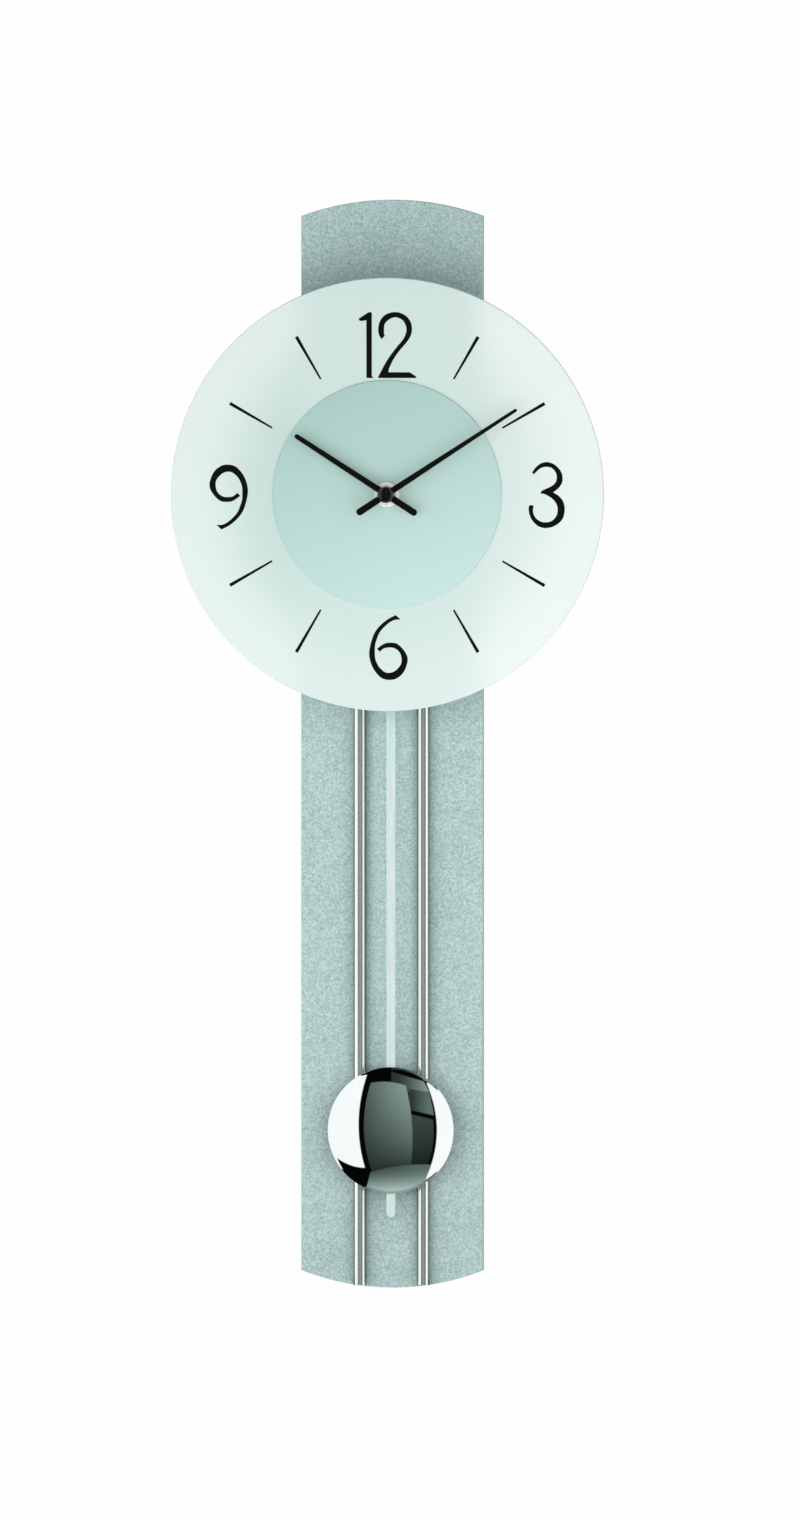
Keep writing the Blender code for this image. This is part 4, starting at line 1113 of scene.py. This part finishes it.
def add_battery():
    low, high = clock_box("battery")
    radius, length, nub = (high.x - low.x) / 2, high.y - low.y, 1.4 * MM
    body = length - nub
    profile = [
        (0, 0.4 * MM),
        (radius - 2.4 * MM, 0.4 * MM),
        (radius - 2.0 * MM, 0),
        (radius - 0.8 * MM, 0),
        (radius - 0.2 * MM, 0.2 * MM),
        (radius, 0.8 * MM),
        (radius, body - 2.6 * MM),
        (radius - 0.35 * MM, body - 2.2 * MM),
        (radius - 0.35 * MM, body - 1.8 * MM),
        (radius, body - 1.4 * MM),
        (radius, body - 0.8 * MM),
        (radius - 0.25 * MM, body - 0.25 * MM),
        (radius - 0.9 * MM, body),
        (2.7 * MM, body),
        (2.7 * MM, length - 0.3 * MM),
        (2.4 * MM, length),
        (0, length),
    ]
    mesh = turned(profile, 72)
    for face in mesh.polygons:
        if not 0.7 * MM < face.center.z < body - 0.6 * MM:
            face.material_index = 1
    ends = (MATERIALS["steel"],)
    add_piece("battery_aa", stood_up(mesh, "battery"), MATERIALS["battery_jacket"], "battery", others=ends)
    contact = eased(cad_mesh("battery_contact"), 0.12 * MM)
    add_piece("battery_contact_pressed", contact, MATERIALS["steel"], "battery_contact")


def add_knob():
    """The knob's grip is drawn anew; its shaft and pinion are the node's own."""
    low, high = clock_box("setting_knob")
    (x, y), front = spot("setting_knob"), low.z + GRIP_HEIGHT
    grip = []
    for turn in (2 * math.pi * k / 192 for k in range(192)):
        radius = GRIP_RADIUS + GRIP_WAVE * math.cos(GRIP_WAVES * turn)
        grip.append((x + radius * math.cos(turn), y + radius * math.sin(turn)))
    mesh = flat([grip], low.z, front, bevel=0.35 * MM)
    slot_low = (x - 3.6 * MM, y - 0.5 * MM, low.z - MM)
    slot_high = (x + 3.6 * MM, y + 0.5 * MM, low.z + 0.7 * MM)
    mesh = combine(mesh, [box_mesh(slot_low, slot_high)])
    old_grip = box_mesh((x - 0.01, y - 0.01, low.z - MM), (x + 0.01, y + 0.01, front - 0.4 * MM))
    shaft = combine(cad_mesh("setting_knob"), [old_grip])
    shaft = combine(shaft, [drum(2.7 * MM, front - 0.5 * MM, high.z + MM, (x, y))], "INTERSECT")
    add_piece("setting_knob_grip", combine(mesh, [shaft], "UNION"), MATERIALS["case_plastic"], "setting_knob")


def add_bush():
    low, high = clock_box("threaded_bush")
    radius, flange, bore, pitch = 4.8 * MM, 7.0 * MM, 3.0 * MM, 0.75 * MM
    start = low.z + 1.1 * MM
    profile = [(bore, low.z), (flange - 0.2 * MM, low.z), (flange, low.z + 0.2 * MM), (flange, start)]
    turns = int((high.z - start - pitch) / pitch)
    for k in range(turns):
        z = start + pitch * (k + 0.25)
        profile += [(radius - 0.35 * MM, z), (radius, z + pitch * 0.5)]
    profile += [(radius - 0.35 * MM, high.z - 0.1 * MM), (radius - 0.5 * MM, high.z), (bore, high.z)]
    add_piece("bush_threaded", turned(profile, 64), MATERIALS["brass"], "threaded_bush", crease=20)


# Pendulum


def add_arm():
    arm = eased(cad_mesh("pendulum_arm"), 0.2 * MM)
    add_piece("pendulum_arm_moulded", arm, MATERIALS["case_plastic"], "pendulum_arm")
    low, high = clock_box("pendulum_pivot_pin")
    head, shaft, back, front = (high.x - low.x) / 2, 1.2 * MM, low.z, high.z
    profile = [(0, back), (head * 0.6, back + 0.1 * MM), (head * 0.92, back + 0.4 * MM)]
    profile += [(head, back + 0.8 * MM), (head, back + MM), (shaft, back + MM)]
    profile += [(shaft, front - 0.3 * MM), (0.9 * MM, front), (0, front)]
    pin = turned(profile, 48, spot("pendulum_pivot_pin"))
    add_piece("pivot_pin_turned", pin, MATERIALS["steel"], "pendulum_pivot_pin")
    low, high = clock_box("pendulum_magnet")
    magnet = drum((high.x - low.x) / 2, low.z, high.z, spot("pendulum_magnet"), 56, 0.3 * MM)
    add_piece("magnet_pressed", magnet, MATERIALS["magnet"], "pendulum_magnet")
    add_piece("bob_clip_folded", eased(cad_mesh("bob_clip"), 0.25 * MM), MATERIALS["steel"], "bob_clip")


def add_strip():
    """A strip with a round eye at its top, for the arm's peg."""
    low, high = clock_box("pendulum_rod")
    half, eye, hole = 0.0028, 0.0040, 0.0017
    top = high.y - eye
    neck = math.degrees(math.acos(half / eye))
    outline = arc((0, top), eye, -neck, 180 + neck, 32)
    outline += [(-half, low.y + 0.0025)]
    outline += arc((0, low.y + half), half, 190, 350, 16)
    outline += [(half, low.y + 0.0025)]
    mesh = flat([outline, circle((0, top), hole)], low.z, high.z, bevel=0.25 * MM)
    add_piece("pendulum_strip_satin", mesh, MATERIALS["strip_satin"], "pendulum_rod")


def dome_profile(sphere, centre, edge, steps):
    """Points on a sphere's section, from its front to the edge's angle."""
    turns = [edge * k / steps for k in range(steps + 1)]
    return [(sphere * math.sin(a), centre + sphere * math.cos(a)) for a in turns]


def add_bob():
    low, high = clock_box("bob_shell")
    at = spot("bob_shell")
    radius, rise, wall = (high.x - low.x) / 2, high.z - low.z, 0.0008
    sphere = (radius**2 + rise**2) / (2 * rise)
    centre = high.z - sphere
    outer = dome_profile(sphere, centre, math.asin(radius / sphere), 40)[:-1]
    inner = dome_profile(sphere - wall, centre, math.acos((low.z - centre) / (sphere - wall)), 16)[::-1]
    lip = [(radius - 0.12 * MM, low.z + 0.30 * MM), (radius, low.z + 0.12 * MM), (radius - 0.08 * MM, low.z)]
    mesh = turned(outer + lip + inner, 160, at)
    add_piece("bob_dome_chrome", mesh, MATERIALS["chrome"], "bob_shell", crease=50)

    low, high = clock_box("bob_back_plate")
    radius, corner, panel = (high.x - low.x) / 2, 0.2 * MM, low.z + 0.25 * MM
    profile = [(0, high.z), (radius - corner, high.z), (radius, high.z - corner), (radius, low.z + corner)]
    profile += [(radius - corner, low.z), (radius - 1.6 * MM, low.z), (radius - 1.9 * MM, panel), (0, panel)]
    add_piece("bob_back_pressed", turned(profile, 128, at), MATERIALS["steel"], "bob_back_plate")


FLOOR_RADIUS, FLOOR_HEIGHT = 1.15, -0.95


def add_floor():
    """A round white floor under the clock."""
    finish = plain_finish(
        "floor",
        srgb(232, 233, 233),
        srgb(236, 237, 237),
        (0.7, 0.8),
        30,
        grain=0.02,
        Emission_Color=(1.0, 1.0, 1.0),
        Emission_Strength=0.55,
    )
    mesh = drum(FLOOR_RADIUS, -MM, 0.0, steps=128)
    mesh.materials.append(finish)
    floor = bpy.data.objects.new("floor", mesh)
    floor.location = (0, 0, FLOOR_HEIGHT)
    scene.collection.objects.link(floor)
    floor.visible_glossy = floor.visible_diffuse = False


add_camera()
add_world()
add_light("softbox_left", (-0.46, -0.80, -0.38), (0, 0, -0.36), 0.90, 0.80, 3.7)
add_light("softbox_right", (0.46, -0.80, -0.34), (0, 0, -0.34), 0.90, 0.80, 3.1)
add_floor()

for node, obj in frame["nodes"].items():
    obj.data.materials.clear()
    obj.data.materials.append(MATERIALS[SLOT_OF[node]])

add_panel()
add_hanger()
add_screws()
add_rods()
add_frame()
add_dial()
add_hands()
add_print()
add_rear_case()
add_front_case()
add_battery()
add_knob()
add_bush()
add_arm()
add_strip()
add_bob()
